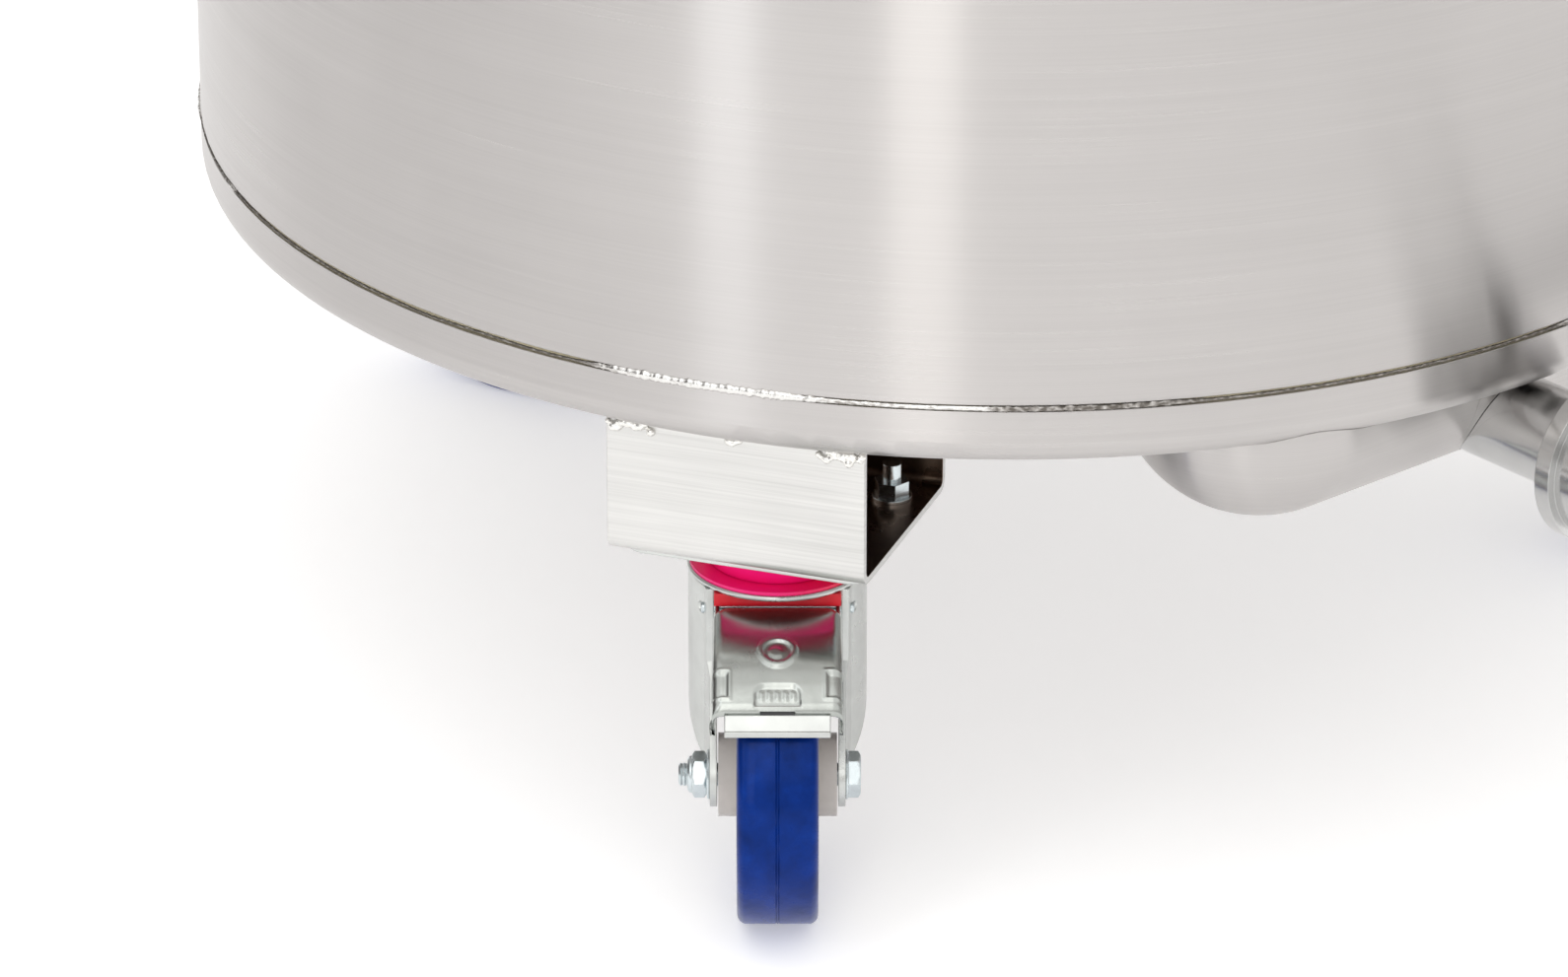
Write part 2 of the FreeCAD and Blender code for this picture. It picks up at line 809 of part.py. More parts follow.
def make_outlet_cap():
    outer = thread_r + cap_gap + cap_wall
    cup = upright(outer, cap_start, thread_length + cap_gap + cap_wall)
    cup = cup.cut(upright(thread_r + cap_gap, 0, thread_length + cap_gap))
    notch = upright(cap_notch_r, 0, thread_length + 2 * cap_wall, x=outer + 1)
    notches = [turned(notch, 360.0 * i / cap_notches) for i in range(cap_notches)]
    return about_outlet(cup.cut(notches), thread_y)


# ---- brackets and their bolts, made with the bearing's outward way along -Y ----
swivel_y = -(bracket_front - bracket_depth / 2)
bolt_spots = [(x, y) for x in (-bolt_x, bolt_x) for y in (-bolt_y, bolt_y)]


def make_bracket():
    """Channel bent from sheet, open at both sides, welded to the pan along its two top edges."""
    top = pan_z + pan_knuckle_r
    y0, y1 = -bracket_front, -bracket_front + bracket_depth

    def bar(inset):
        r = bracket_bend_r - inset
        solid = block(-bracket_half, bracket_half, y0 + inset, y1 - inset, bracket_z + inset, top + inset)
        return rounded(solid, r, lambda e: e.BoundBox.ZMax < bracket_z + inset + 0.1 and e.Length > bracket_depth)
    channel = bar(0.0).cut(bar(bracket_wall)).cut(pan_volume(0.0, seam_z))
    holes = [upright(bolt_r + bolt_hole_gap, bracket_z - 1, bracket_z + bracket_wall + 1, x, swivel_y + y)
             for x, y in bolt_spots]
    return channel.cut(holes)


def make_weld_beads():
    """Corner seams and one tack along the bracket's outer and inner top edges."""
    lengths = {-1: corner_weld, 0: tack_weld, 1: corner_weld}
    y0, y1 = -bracket_front, -bracket_front + bracket_depth
    channel = block(-bracket_half, bracket_half, y0, y1, 0, seam_z)
    beads = []
    for y in (y0, y1):
        for place, length in lengths.items():
            mid = place * (bracket_half - length / 2)
            start, end = mid - length / 2, mid + length / 2
            z = pan_z - weld_r / 2
            bead = rod(weld_r, (start, y, z), (end, y, z))
            beads.append(bead.cut([pan_volume(0.0, seam_z), channel]))
    return beads


def make_bolt_sets():
    """Low round-headed bolts from below, with a washer and a nut inside the bracket."""
    solids = []
    seat = bracket_z + bracket_wall
    washer_top = seat + washer_thick
    for x, y in bolt_spots:
        bolt = joined(
            upright(bolt_head_r, plate_z - bolt_head, plate_z),
            upright(bolt_r, plate_z, washer_top + nut_tall + bolt_stand),
        )
        washer = upright(washer_r, seat, washer_top).cut(upright(bolt_r, seat, washer_top))
        nut = hexagon(bolt_flats, washer_top, washer_top + nut_tall)
        nut = nut.cut(upright(bolt_r, washer_top, washer_top + nut_tall))
        for solid in (bolt, washer, nut):
            solid.translate(Vector(x, swivel_y + y, 0))
            solids.append(solid)
    return solids


def make_caster_plate():
    """Top plate with its pressed race, bolted under the bracket."""
    plate = block(-plate_x / 2, plate_x / 2, -plate_y / 2, plate_y / 2, plate_z, bracket_z)
    plate = rounded(plate, plate_corner_r, is_upright)
    race_z = crown_z + crown_thick + seal_thick + race_gap
    race = Part.makeCone(race_r, race_top_r, race_tall, Vector(0, 0, race_z))
    holes = [upright(bolt_r + bolt_hole_gap, plate_z - 1, bracket_z + 1, x, y) for x, y in bolt_spots]
    holes.append(upright(kingpin_r, 0, bracket_z + 1))
    shape = joined(plate, race).cut(holes)
    shape.translate(Vector(0, swivel_y, 0))
    return shape


def make_kingpin():
    nut_top = crown_z - race_gap
    shape = joined(
        upright(kingpin_r, nut_top - kingpin_nut, bracket_z),
        hexagon(kingpin_nut_flats, nut_top - kingpin_nut, nut_top),
    )
    shape.translate(Vector(0, swivel_y, 0))
    return shape


# ---- one caster below its race, made about its own swivel axis with the wheel trailing along -Y ----
def fork_plan(inset, front):
    """Plan of the fork's outside, a round crown that narrows to the axle's legs, set in by a wall."""
    legs = plan_slab(
        [(crown_wall_r - inset, 0), (fork_half - inset, -fork_neck), (fork_half - inset, -front),
         (inset - fork_half, -front), (inset - fork_half, -fork_neck), (inset - crown_wall_r, 0)],
        0, crown_z,
    )
    return joined(legs, upright(crown_wall_r - inset, 0, crown_z))


def make_fork():
    """Pressed fork: crown plate, curved skirt behind, and two legs that reach forward to the axle."""
    axle = (trail, wheel_r)
    back = (-crown_r - 1, crown_z - fork_skirt)
    shoulder = (fork_shoulder, crown_z - fork_shoulder_drop)
    side = [
        (-crown_r - 1, crown_z), back,
        tangent_point(back, axle, fork_boss_r, 1),
        tangent_point(shoulder, axle, fork_boss_r, -1),
        shoulder, (fork_shoulder, crown_z),
    ]
    boss = rod(fork_boss_r, (-crown_r, -trail, wheel_r), (crown_r, -trail, wheel_r))
    mask = joined(side_slab(side, crown_r), boss)
    walls = fork_plan(0.0, fork_front).cut(fork_plan(fork_wall, fork_front + 1)).common(mask)
    crown = upright(crown_r, crown_z, crown_z + crown_thick)
    crown = rounded(crown, 1.0, lambda e: e.Length > crown_r)
    fork = joined(walls, crown).cut([
        upright(kingpin_r + running_gap, crown_z - 1, crown_z + crown_thick + 1),
        rod(axle_r, (-crown_r, -trail, wheel_r), (crown_r, -trail, wheel_r)),
        rod(pivot_r, (-crown_r, -pivot_d, pivot_z), (crown_r, -pivot_d, pivot_z)),
    ])
    return fork


def make_seal():
    z0 = crown_z + crown_thick
    ring = upright(crown_r - seal_edge, z0, z0 + seal_thick)
    return ring.cut(upright(kingpin_r + running_gap, z0, z0 + seal_thick))


def make_cam():
    return block(-cam_half, cam_half, -cam_front, -cam_back, crown_z - cam_tall, crown_z)


def pedal_region(half, drop):
    """Everything below the pedal's arched top line, lowered by drop."""
    low = pedal_tip[1] - 2 * pedal_side
    wire = outline(
        (pedal_back, low - drop),
        (pedal_back, pedal_back_z - drop),
        (pedal_bend[0], pedal_bend[1] - drop),
        ((pedal_crest[0], pedal_crest[1] - drop), (pedal_knee[0], pedal_knee[1] - drop)),
        (pedal_tip[0], pedal_tip[1] - drop),
        (pedal_tip[0], low - drop),
    )
    region = Part.Face(wire).extrude(Vector(0, 2 * half, 0))
    region.translate(Vector(0, -half, 0))
    region.rotate(Vector(0, 0, 0), Vector(0, 0, 1), -90)
    return region


def make_pedal():
    """Pressed brake pedal over the wheel, with turned-down sides and two pivot ears."""
    side = pedal_half - pedal_wall
    skin = pedal_region(pedal_half, 0.0).cut(pedal_region(side, pedal_drop))
    skin = skin.cut(pedal_region(pedal_half + 1, pedal_side))
    ears = []
    for way in (-1, 1):
        x0, x1 = sorted((way * (side - pivot_ear_inset), way * (pedal_half - pivot_ear_inset)))
        arm = side_slab(
            [(pivot_d, pivot_z - pivot_ear_r), (pedal_back + 1, pivot_z - pivot_ear_r),
             (pedal_back + 1, pivot_z + pivot_ear_r / 2), (pivot_d, pivot_z + pivot_ear_r)],
            pedal_half,
        ).common(block(x0, x1, -pedal_tip[0], 0, 0, crown_z))
        ears.append(joined(arm, rod(pivot_ear_r, (x0, -pivot_d, pivot_z), (x1, -pivot_d, pivot_z))))
    hole = rod(pivot_r + running_gap, (-crown_r, -pivot_d, pivot_z), (crown_r, -pivot_d, pivot_z))
    return joined(skin, *ears).cut(hole)


def make_axle_set():
    """Axle bolt with its nut, and the pedal's pivot pin."""
    nut_x = -fork_half - axle_nut
    bolt = joined(
        rod(axle_r, (nut_x - axle_end, 0, 0), (fork_half, 0, 0)),
        along_x(hexagon(axle_flats, fork_half, fork_half + axle_head)),
    )
    nut = along_x(hexagon(axle_flats, nut_x, -fork_half)).cut(rod(axle_r, (nut_x, 0, 0), (-fork_half, 0, 0)))
    for solid in (bolt, nut):
        solid.translate(Vector(0, -trail, wheel_r))
    pin_half = crown_wall_r - fork_wall
    pin = rod(pivot_r, (-pin_half, -pivot_d, pivot_z), (pin_half, -pivot_d, pivot_z))
    return [bolt, nut, pin]


def on_axle(shape):
    copy = along_x(shape)
    copy.translate(Vector(0, -trail, wheel_r))
    return copy


def make_tread():
    half = tread_wide / 2
    flat_r = wheel_r - tread_round
    edge = half - tread_round
    inner = wheel_r - tread_thick
    ring = revolved(
        (inner, -half),
        (flat_r, -half),
        corner_arc((flat_r, -edge), tread_round, -90, 0),
        (wheel_r, edge),
        corner_arc((flat_r, edge), tread_round, 0, 90),
        (inner, half),
    )
    return on_axle(ring)


def make_hub():
    """Wheel centre: a rim under the tread, a web and a long boss."""
    rim_r = wheel_r - tread_thick
    rim_half = tread_wide / 2
    rim_in = rim_r - hub_rim_thick
    bore = axle_r + running_gap
    return on_axle(revolved(
        (bore, -hub_half), (hub_boss_r, -hub_half), (hub_boss_r, -hub_web / 2), (rim_in, -hub_web / 2),
        (rim_in, -rim_half), (rim_r, -rim_half), (rim_r, rim_half), (rim_in, rim_half),
        (rim_in, hub_web / 2), (hub_boss_r, hub_web / 2), (hub_boss_r, hub_half), (bore, hub_half),
    ))


def export_tank():
    export("outer_shell", make_shell())
    export("bottom_pan", make_pan())
    export("seam_weld", make_seam())
    export("inner_vessel", make_vessel())
    export("evaporator_plate", make_evaporator())
    export("insulation_foam", make_foam())
    export("refrigerant_stubs", *make_stubs())
    export("top_rim", make_rim())
    export("rim_gasket", *make_gasket())
    export("lid_bridge", make_bridge())
    export("hinge_pins", *make_hinge_pins())
    for name, side in (("front", -1), ("rear", 1)):
        export(f"lid_{name}", make_lid(side))
        export(f"lid_handle_{name}", make_handle(side))


def export_fittings():
    export("gearbox", make_gearbox())
    export("agitator_motor", make_motor())
    export("motor_fan_cover", make_fan_cover())
    export("terminal_box", make_terminal_box())
    export("agitator_shaft", make_shaft())
    export("agitator_paddle", make_paddle())
    export("control_box", make_control_box())
    export("control_panel", make_panel())
    export("power_switch", make_knob())
    export("agitate_button", make_button())
    export("dipstick", make_dipstick())
    export("sump_housing", *make_sump())
    export("outlet_pipe", make_outlet_pipe())
    export("valve_body", make_valve_body())
    export("valve_disc", make_valve_disc())
    export("valve_lever", make_lever())
    export("outlet_cap", make_outlet_cap())


def export_undercarriage():
    bearings = caster_bearings.values()
    beads = [turned(bead, b) for b in bearings for bead in make_weld_beads()]
    export("bracket_welds", *beads)
    bolts = [turned(solid, b) for b in bearings for solid in make_bolt_sets()]
    export("bracket_bolts", *bolts)
    export("caster_kingpins", *[turned(make_kingpin(), b) for b in bearings])
    export("caster_plates", *[turned(make_caster_plate(), b) for b in bearings])
    pieces = {
        "caster_fork": [make_fork()],
        "caster_seal": [make_seal()],
        "brake_cam": [make_cam()],
        "brake_pedal": [make_pedal()],
        "axle_set": make_axle_set(),
        "wheel_tread": [make_tread()],
        "wheel_hub": [make_hub()],
    }
    for place, bearing in caster_bearings.items():
        export(f"bracket_{place}", turned(make_bracket(), bearing))
        for name, solids in pieces.items():
            placed = [turned(turned(s, trail_turn), bearing, (0, swivel_y, 0)) for s in solids]
            export(f"{name}_{place}", *placed)


os.makedirs("parts", exist_ok=True)
export_tank()
export_fittings()
export_undercarriage()
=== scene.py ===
import json
import math
import random

import bmesh
import bpy
from mathutils import Matrix, Vector, noise


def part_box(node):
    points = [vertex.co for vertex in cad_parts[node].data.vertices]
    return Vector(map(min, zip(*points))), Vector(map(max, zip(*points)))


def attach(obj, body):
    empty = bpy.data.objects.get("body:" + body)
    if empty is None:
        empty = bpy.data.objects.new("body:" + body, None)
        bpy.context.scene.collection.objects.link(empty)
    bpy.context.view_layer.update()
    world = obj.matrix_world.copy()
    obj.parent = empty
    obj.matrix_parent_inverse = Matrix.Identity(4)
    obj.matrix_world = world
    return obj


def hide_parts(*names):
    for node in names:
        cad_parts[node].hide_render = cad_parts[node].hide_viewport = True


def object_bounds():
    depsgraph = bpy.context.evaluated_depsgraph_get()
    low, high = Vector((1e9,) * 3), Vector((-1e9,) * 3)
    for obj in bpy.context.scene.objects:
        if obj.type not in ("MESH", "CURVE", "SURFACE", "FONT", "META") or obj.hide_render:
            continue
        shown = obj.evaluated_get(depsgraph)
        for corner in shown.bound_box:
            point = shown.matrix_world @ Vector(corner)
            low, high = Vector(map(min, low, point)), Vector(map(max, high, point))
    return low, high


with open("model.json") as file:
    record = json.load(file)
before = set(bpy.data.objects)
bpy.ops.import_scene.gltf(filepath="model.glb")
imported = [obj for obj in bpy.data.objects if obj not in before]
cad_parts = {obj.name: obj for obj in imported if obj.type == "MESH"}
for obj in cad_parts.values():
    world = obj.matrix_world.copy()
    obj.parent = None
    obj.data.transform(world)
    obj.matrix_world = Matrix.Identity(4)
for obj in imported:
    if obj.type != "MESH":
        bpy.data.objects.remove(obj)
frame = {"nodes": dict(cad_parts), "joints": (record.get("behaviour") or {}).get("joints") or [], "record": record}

# Bulk milk tank: looks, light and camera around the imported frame. Metres, in the frame's own axes.
# A bearing is an angle about +Z counted from -Y towards +X.

cad_low, cad_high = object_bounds()
nodes = frame["nodes"]
joints = {joint["name"]: joint for joint in frame["joints"]}
PLACES = ("left", "right", "rear")
BRACKET_BEARINGS = {"left": -60.0, "right": 60.0, "rear": 180.0}
CORNERS = ((-1, -1), (1, -1), (1, 1), (-1, 1))
MM = 0.001

shell_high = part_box("outer_shell")[1]
shell_r = max(shell_high.x, shell_high.y)
seam_low, seam_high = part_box("seam_weld")
seam_z = (seam_low.z + seam_high.z) / 2


def around(bearing, radius, z=0.0):
    """The point at that bearing and distance from the tank's axis."""
    turn = math.radians(bearing)
    return Vector((radius * math.sin(turn), -radius * math.cos(turn), z))


# ---- stage: floor, camera and light ----
VIEW_BEARING = -40.5
VIEW_ELEVATION = 24.76
VIEW_DISTANCE = 3.5
VIEW_LENS = 195.2
VIEW_TARGET = Vector((-0.265, -0.168, 0.190))
FLOOR_SIZE = 60.0
FLOOR_GAP = 0.0005
FLOOR_GLOW = 0.38
WORLD_STRENGTH = 0.74
DIM_BEARING = VIEW_BEARING - 100
SUN_POWER = 0.9
SUN_SPREAD = 100
STRIP_DISTANCE = 1.1
STRIP_HEIGHT = 1.0
STRIP_AIM_Z = 0.3


def make_camera():
    """A long lens at the photograph's viewing angle, aimed between the caster and the shell."""
    data = bpy.data.cameras.new("camera")
    data.lens = VIEW_LENS
    data.clip_end = 100.0
    camera = bpy.data.objects.new("camera", data)
    bpy.context.scene.collection.objects.link(camera)
    rise = math.radians(VIEW_ELEVATION)
    way = around(VIEW_BEARING, math.cos(rise), math.sin(rise))
    camera.location = VIEW_TARGET + way * VIEW_DISTANCE
    camera.rotation_euler = (-way).to_track_quat("-Z", "Y").to_euler()
    bpy.context.scene.camera = camera


def make_floor():
    """A wide white floor that glows a little, so that it stays pale in the shade."""
    bpy.ops.mesh.primitive_plane_add(size=FLOOR_SIZE, location=(0, 0, cad_low.z - FLOOR_GAP))
    floor = bpy.context.object
    floor.name = "floor"
    paint = Paint("floor_white")
    mottle = paint.noise((1, 1, 1), 3.0, detail=3)
    paint.colour_ramp(mottle, [(0.3, (0.90, 0.90, 0.90)), (0.7, (0.92, 0.92, 0.92))], "Base Color")
    paint.set("Roughness", 0.8)
    paint.set("Emission Color", (1.0, 1.0, 1.0, 1.0))
    paint.set("Emission Strength", FLOOR_GLOW)
    floor.data.materials.append(paint.material)


def strip_light(name, bearing, size, power, colour):
    """An upright panel light that the shell mirrors as one pale band."""
    data = bpy.data.lights.new(name, "AREA")
    data.shape = "RECTANGLE"
    data.size, data.size_y = size
    data.energy = power
    data.color = colour
    light = bpy.data.objects.new(name, data)
    bpy.context.scene.collection.objects.link(light)
    light.location = around(bearing, STRIP_DISTANCE, STRIP_HEIGHT)
    light.rotation_euler = (light.location - Vector((0, 0, STRIP_AIM_Z))).to_track_quat("Z", "Y").to_euler()
    light.visible_camera = False


def make_lights():
    """An even studio that dims towards one side, a broad overhead light and two strips."""
    world = bpy.data.worlds.new("studio")
    bpy.context.scene.world = world
    world.use_nodes = True
    tree = world.node_tree
    background = tree.nodes["Background"]
    background.inputs["Strength"].default_value = WORLD_STRENGTH
    coords = tree.nodes.new("ShaderNodeTexCoord")
    dot = tree.nodes.new("ShaderNodeVectorMath")
    dot.operation = "DOT_PRODUCT"
    dot.inputs[1].default_value = around(DIM_BEARING, 1.0)
    shade = tree.nodes.new("ShaderNodeValToRGB")
    bright, dim = shade.color_ramp.elements
    bright.position, bright.color = 0.55, (1.0, 0.985, 0.97, 1.0)
    dim.position, dim.color = 0.92, (0.16, 0.145, 0.142, 1.0)
    tree.links.new(coords.outputs["Generated"], dot.inputs[0])
    tree.links.new(dot.outputs["Value"], shade.inputs["Fac"])
    tree.links.new(shade.outputs["Color"], background.inputs["Color"])
    sun_data = bpy.data.lights.new("soft_overhead", "SUN")
    sun_data.energy = SUN_POWER
    sun_data.angle = math.radians(SUN_SPREAD)
    sun = bpy.data.objects.new("soft_overhead", sun_data)
    sun.rotation_euler = (math.radians(12), math.radians(-14), 0)
    bpy.context.scene.collection.objects.link(sun)
    strip_light("strip_middle", VIEW_BEARING - 9.7, (0.21, 2.0), 1.75, (1.0, 0.985, 0.95))
    strip_light("strip_left", VIEW_BEARING - 33.5, (0.19, 2.0), 1.45, (0.94, 0.975, 1.0))
    bpy.context.scene.view_settings.view_transform = "Standard"


# ---- materials ----
NOISE_ROUGHNESS = 0.6
METAL_EDGE = 0.0006
PLASTIC_EDGE = 0.0005


class Paint:
    """A node material being put together around its Principled shader."""

    def __init__(self, name, metallic=0.0):
        self.material = bpy.data.materials.new(name)
        self.material.use_nodes = True
        self.tree = self.material.node_tree
        self.shader = self.tree.nodes["Principled BSDF"]
        self.set("Metallic", metallic)
        self.coords = self.node("ShaderNodeTexCoord").outputs["Object"]

    def node(self, kind, **settings):
        node = self.tree.nodes.new(kind)
        for key, value in settings.items():
            setattr(node, key, value)
        return node

    def link(self, out, into):
        self.tree.links.new(out, into)

    def set(self, socket, value):
        self.shader.inputs[socket].default_value = value

    def noise(self, stretch, scale, detail=4):
        mapping = self.node("ShaderNodeMapping")
        mapping.inputs["Scale"].default_value = stretch
        self.link(self.coords, mapping.inputs["Vector"])
        texture = self.node("ShaderNodeTexNoise")
        texture.inputs["Scale"].default_value = scale
        texture.inputs["Detail"].default_value = detail
        texture.inputs["Roughness"].default_value = NOISE_ROUGHNESS
        self.link(mapping.outputs["Vector"], texture.inputs["Vector"])
        return texture.outputs["Fac"]

    def ramp(self, fac, stops):
        ramp = self.node("ShaderNodeValToRGB")
        elements = ramp.color_ramp.elements
        while len(elements) < len(stops):
            elements.new(0.5)
        for element, (place, colour) in zip(elements, stops):
            element.position = place
            element.color = (*colour, 1.0) if isinstance(colour, tuple) else (colour, colour, colour, 1.0)
        self.link(fac, ramp.inputs["Fac"])
        return ramp.outputs["Color"]

    def colour_ramp(self, fac, stops, socket):
        self.link(self.ramp(fac, stops), self.shader.inputs[socket])

    def math(self, operation, a, b):
        node = self.node("ShaderNodeMath", operation=operation)
        for index, value in enumerate((a, b)):
            if isinstance(value, (int, float)):
                node.inputs[index].default_value = value
            else:
                self.link(value, node.inputs[index])
        return node.outputs["Value"]

    def bump(self, height, distance, edge=0.0):
        """A bump under the light; edge rounds the corners a little as well."""
        node = self.node("ShaderNodeBump")
        node.inputs["Distance"].default_value = distance
        node.inputs["Strength"].default_value = 1.0
        self.link(height, node.inputs["Height"])
        if edge:
            bevel = self.node("ShaderNodeBevel", samples=4)
            bevel.inputs["Radius"].default_value = edge
            self.link(bevel.outputs["Normal"], node.inputs["Normal"])
        self.link(node.outputs["Normal"], self.shader.inputs["Normal"])


def brushed(name, colour, roughness, grain, depth=0.00002, anisotropic=0.0, contrast=1.0):
    """Brushed metal: fine lines along one way, faint cloudy patches and soft corners."""
    paint = Paint(name, metallic=1.0)
    lines = paint.noise(grain, 1.0, detail=5)
    patches = paint.noise((1, 1, 1), 7.0, detail=3)
    mixed = paint.math("ADD", paint.math("MULTIPLY", lines, 0.6), paint.math("MULTIPLY", patches, 0.4))
    dark = tuple(c * (1 - 0.10 * contrast) for c in colour)
    light = tuple(min(1.0, c * (1 + 0.07 * contrast)) for c in colour)
    spread = min(0.25, 0.18 * contrast)
    paint.colour_ramp(mixed, [(0.35, dark), (0.65, light)], "Base Color")
    rough, smooth = roughness * (1 + spread), roughness * (1 - spread)
    paint.colour_ramp(mixed, [(0.35, rough), (0.65, smooth)], "Roughness")
    if anisotropic:
        paint.set("Anisotropic", anisotropic)
        paint.set("Anisotropic Rotation", 0.25)
        tangent = paint.node("ShaderNodeTangent", direction_type="RADIAL", axis="Z")
        paint.link(tangent.outputs["Tangent"], paint.shader.inputs["Tangent"])
    paint.bump(lines, depth, edge=METAL_EDGE)
    return paint


def plastic(name, colour, roughness, wear=0.12):
    """Plastic, rubber or paint with faint cloudy wear."""
    paint = Paint(name)
    patches = paint.noise((1, 1, 1), 30.0, detail=6)
    dark = tuple(c * (1 - wear) for c in colour)
    light = tuple(min(1.0, c * (1 + wear)) for c in colour)
    paint.colour_ramp(patches, [(0.35, dark), (0.65, light)], "Base Color")
    paint.colour_ramp(patches, [(0.3, roughness * 1.2), (0.7, roughness * 0.85)], "Roughness")
    paint.bump(paint.noise((1, 1, 1), 900.0, detail=2), 0.00004, edge=PLASTIC_EDGE)
    return paint


def seal_paint_with_painted_light():
    """Plastic painted from magenta pink on the camera's left to darker red on its right, which is painted light
    and shade across the ring, with faint wear and a faint painted glow.
    """
    paint = Paint("seal_plastic")
    generated = paint.node("ShaderNodeTexCoord").outputs["Generated"]
    across = paint.node("ShaderNodeVectorMath", operation="DOT_PRODUCT")
    # The colour fades along the camera's left-to-right axis: painted light and shade across the ring.
    across.inputs[1].default_value = (0.76, -0.65, 0.0)
    paint.link(generated, across.inputs[0])
    streaks = paint.math("MULTIPLY", paint.noise((1, 1, 1), 60.0), 0.12)
    wander = paint.math("ADD", across.outputs["Value"], streaks)
    paint.colour_ramp(wander, [(0.10, (0.90, 0.006, 0.19)), (0.52, (0.80, 0.008, 0.03))], "Base Color")
    # A faint painted glow, though the seal is no lamp.
    paint.set("Emission Color", (0.90, 0.006, 0.16, 1.0))
    paint.set("Emission Strength", 0.04)
    paint.set("Roughness", 0.4)
    paint.bump(paint.noise((1, 1, 1), 700.0, detail=2), 0.00003, edge=0.0004)
    return paint


def bead_paint():
    """Weld metal whose brightness follows the tone and painted highlights stored along the seam."""
    paint = Paint("weld_bead", metallic=1.0)
    shade = paint.node("ShaderNodeAttribute", attribute_name="shade").outputs["Fac"]
    grit = paint.noise((1, 1, 1), 900.0, detail=3)
    tone = paint.math("ADD", shade, paint.math("MULTIPLY", paint.math("SUBTRACT", grit, 0.5), 0.6))
    stops = [(0.1, (0.16, 0.145, 0.13)), (0.45, (0.42, 0.40, 0.38)), (0.8, (0.74, 0.73, 0.71))]
    paint.colour_ramp(tone, stops, "Base Color")
    paint.colour_ramp(tone, [(0.2, 0.55), (0.8, 0.18)], "Roughness")
    paint.bump(grit, 0.00015)
    return paint


def tread_paint():
    """Cast blue polyurethane: deep, cloudy and glossy."""
    paint = Paint("blue_polyurethane")
    clouds = paint.noise((1, 1, 1), 55.0, detail=6)
    stops = [(0.3, (0.001, 0.012, 0.10)), (0.55, (0.002, 0.022, 0.18)), (0.75, (0.003, 0.038, 0.28))]
    paint.colour_ramp(clouds, stops, "Base Color")
    paint.colour_ramp(clouds, [(0.3, 0.34), (0.7, 0.24)], "Roughness")
    paint.set("Specular IOR Level", 0.25)
    paint.set("Specular Tint", (0.10, 0.30, 1.0, 1.0))
    paint.set("Coat Weight", 0.12)
    paint.set("Coat Roughness", 0.10)
    paint.bump(paint.noise((1, 1, 1), 260.0, detail=3), 0.0001, edge=0.0004)
    return paint


METALS = {
    "brushed_stainless": ((0.545, 0.525, 0.515), 0.29, (5, 5, 1300), 0.000003, 0.35),
    "satin_stainless": ((0.58, 0.58, 0.575), 0.32, (4, 1400, 4), 0.00001, 1.0),
    "bracket_stainless": ((0.66, 0.655, 0.64), 0.42, (8, 8, 900), 0.00001, 1.0),
    # Dark brown painted shade for the inside faces of the bracket channels.
    "bracket_inside_painted_shade": ((0.19, 0.125, 0.090), 0.30, (40, 40, 40), 0.0002, 4.0),
    "bracket_bead": ((0.80, 0.79, 0.76), 0.24, (600, 600, 600), 0.0001, 1.0),
    "polished_stainless": ((0.58, 0.58, 0.575), 0.16, (30, 30, 30), 0.00002, 1.0),
    "zinc_steel": ((0.56, 0.575, 0.56), 0.30, (45, 45, 45), 0.00006, 1.0),
    "pedal_zinc": ((0.42, 0.44, 0.42), 0.24, (60, 60, 60), 0.00005, 1.5),
    "pedal_shadow": ((0.15, 0.165, 0.155), 0.4, (60, 60, 60), 0.00005, 2.0),
    "zinc_bolt": ((0.62, 0.68, 0.70), 0.24, (150, 150, 150), 0.00004, 1.0),
    "cast_aluminium": ((0.55, 0.56, 0.57), 0.5, (700, 700, 700), 0.0002, 1.0),
    "copper": ((0.72, 0.40, 0.26), 0.3, (90, 90, 90), 0.00002, 1.0),
}
PLASTICS = {
    "pu_foam": ((0.86, 0.78, 0.55), 0.9, 0.12),
    "gasket_rubber": ((0.60, 0.60, 0.58), 0.7, 0.12),
    "motor_paint": ((0.10, 0.17, 0.29), 0.4, 0.12),
    "black_plastic": ((0.02, 0.02, 0.022), 0.45, 0.12),
    "display_glass": ((0.006, 0.012, 0.014), 0.12, 0.12),
    "enclosure_paint": ((0.66, 0.67, 0.67), 0.4, 0.04),
    "panel_film": ((0.08, 0.13, 0.22), 0.35, 0.12),
    "green_plastic": ((0.02, 0.36, 0.10), 0.25, 0.12),
    "hub_plastic": ((0.54, 0.51, 0.49), 0.35, 0.10),
    "red_plastic": ((0.66, 0.008, 0.022), 0.32, 0.12),
}
ANISOTROPIC = {"brushed_stainless": 1.0}


def make_materials():
    made = {
        name: brushed(name, colour, roughness, grain, depth, ANISOTROPIC.get(name, 0.0), contrast)
        for name, (colour, roughness, grain, depth, contrast) in METALS.items()
    }
    made.update({name: plastic(name, *looks) for name, looks in PLASTICS.items()})
    made.update(weld_bead=bead_paint(), blue_polyurethane=tread_paint(), seal_plastic=seal_paint_with_painted_light())
    return {name: paint.material for name, paint in made.items()}


# ---- building blocks for the detailed pieces ----
MERGE_GAP = 0.004
HEX_CHAMFER_SLOPE = 1.73 / 1.2
HEX_RISE = (0.0, 0.35, 0.7, 1.05, 1.4)
THREAD_PITCH = 1.5
THREAD_DEPTH = 0.45
THREAD_CHAMFER = 0.9
ALONG_X = Matrix.Rotation(math.radians(90), 4, "Y")
FLIPPED = Matrix.Rotation(math.pi, 4, "X")


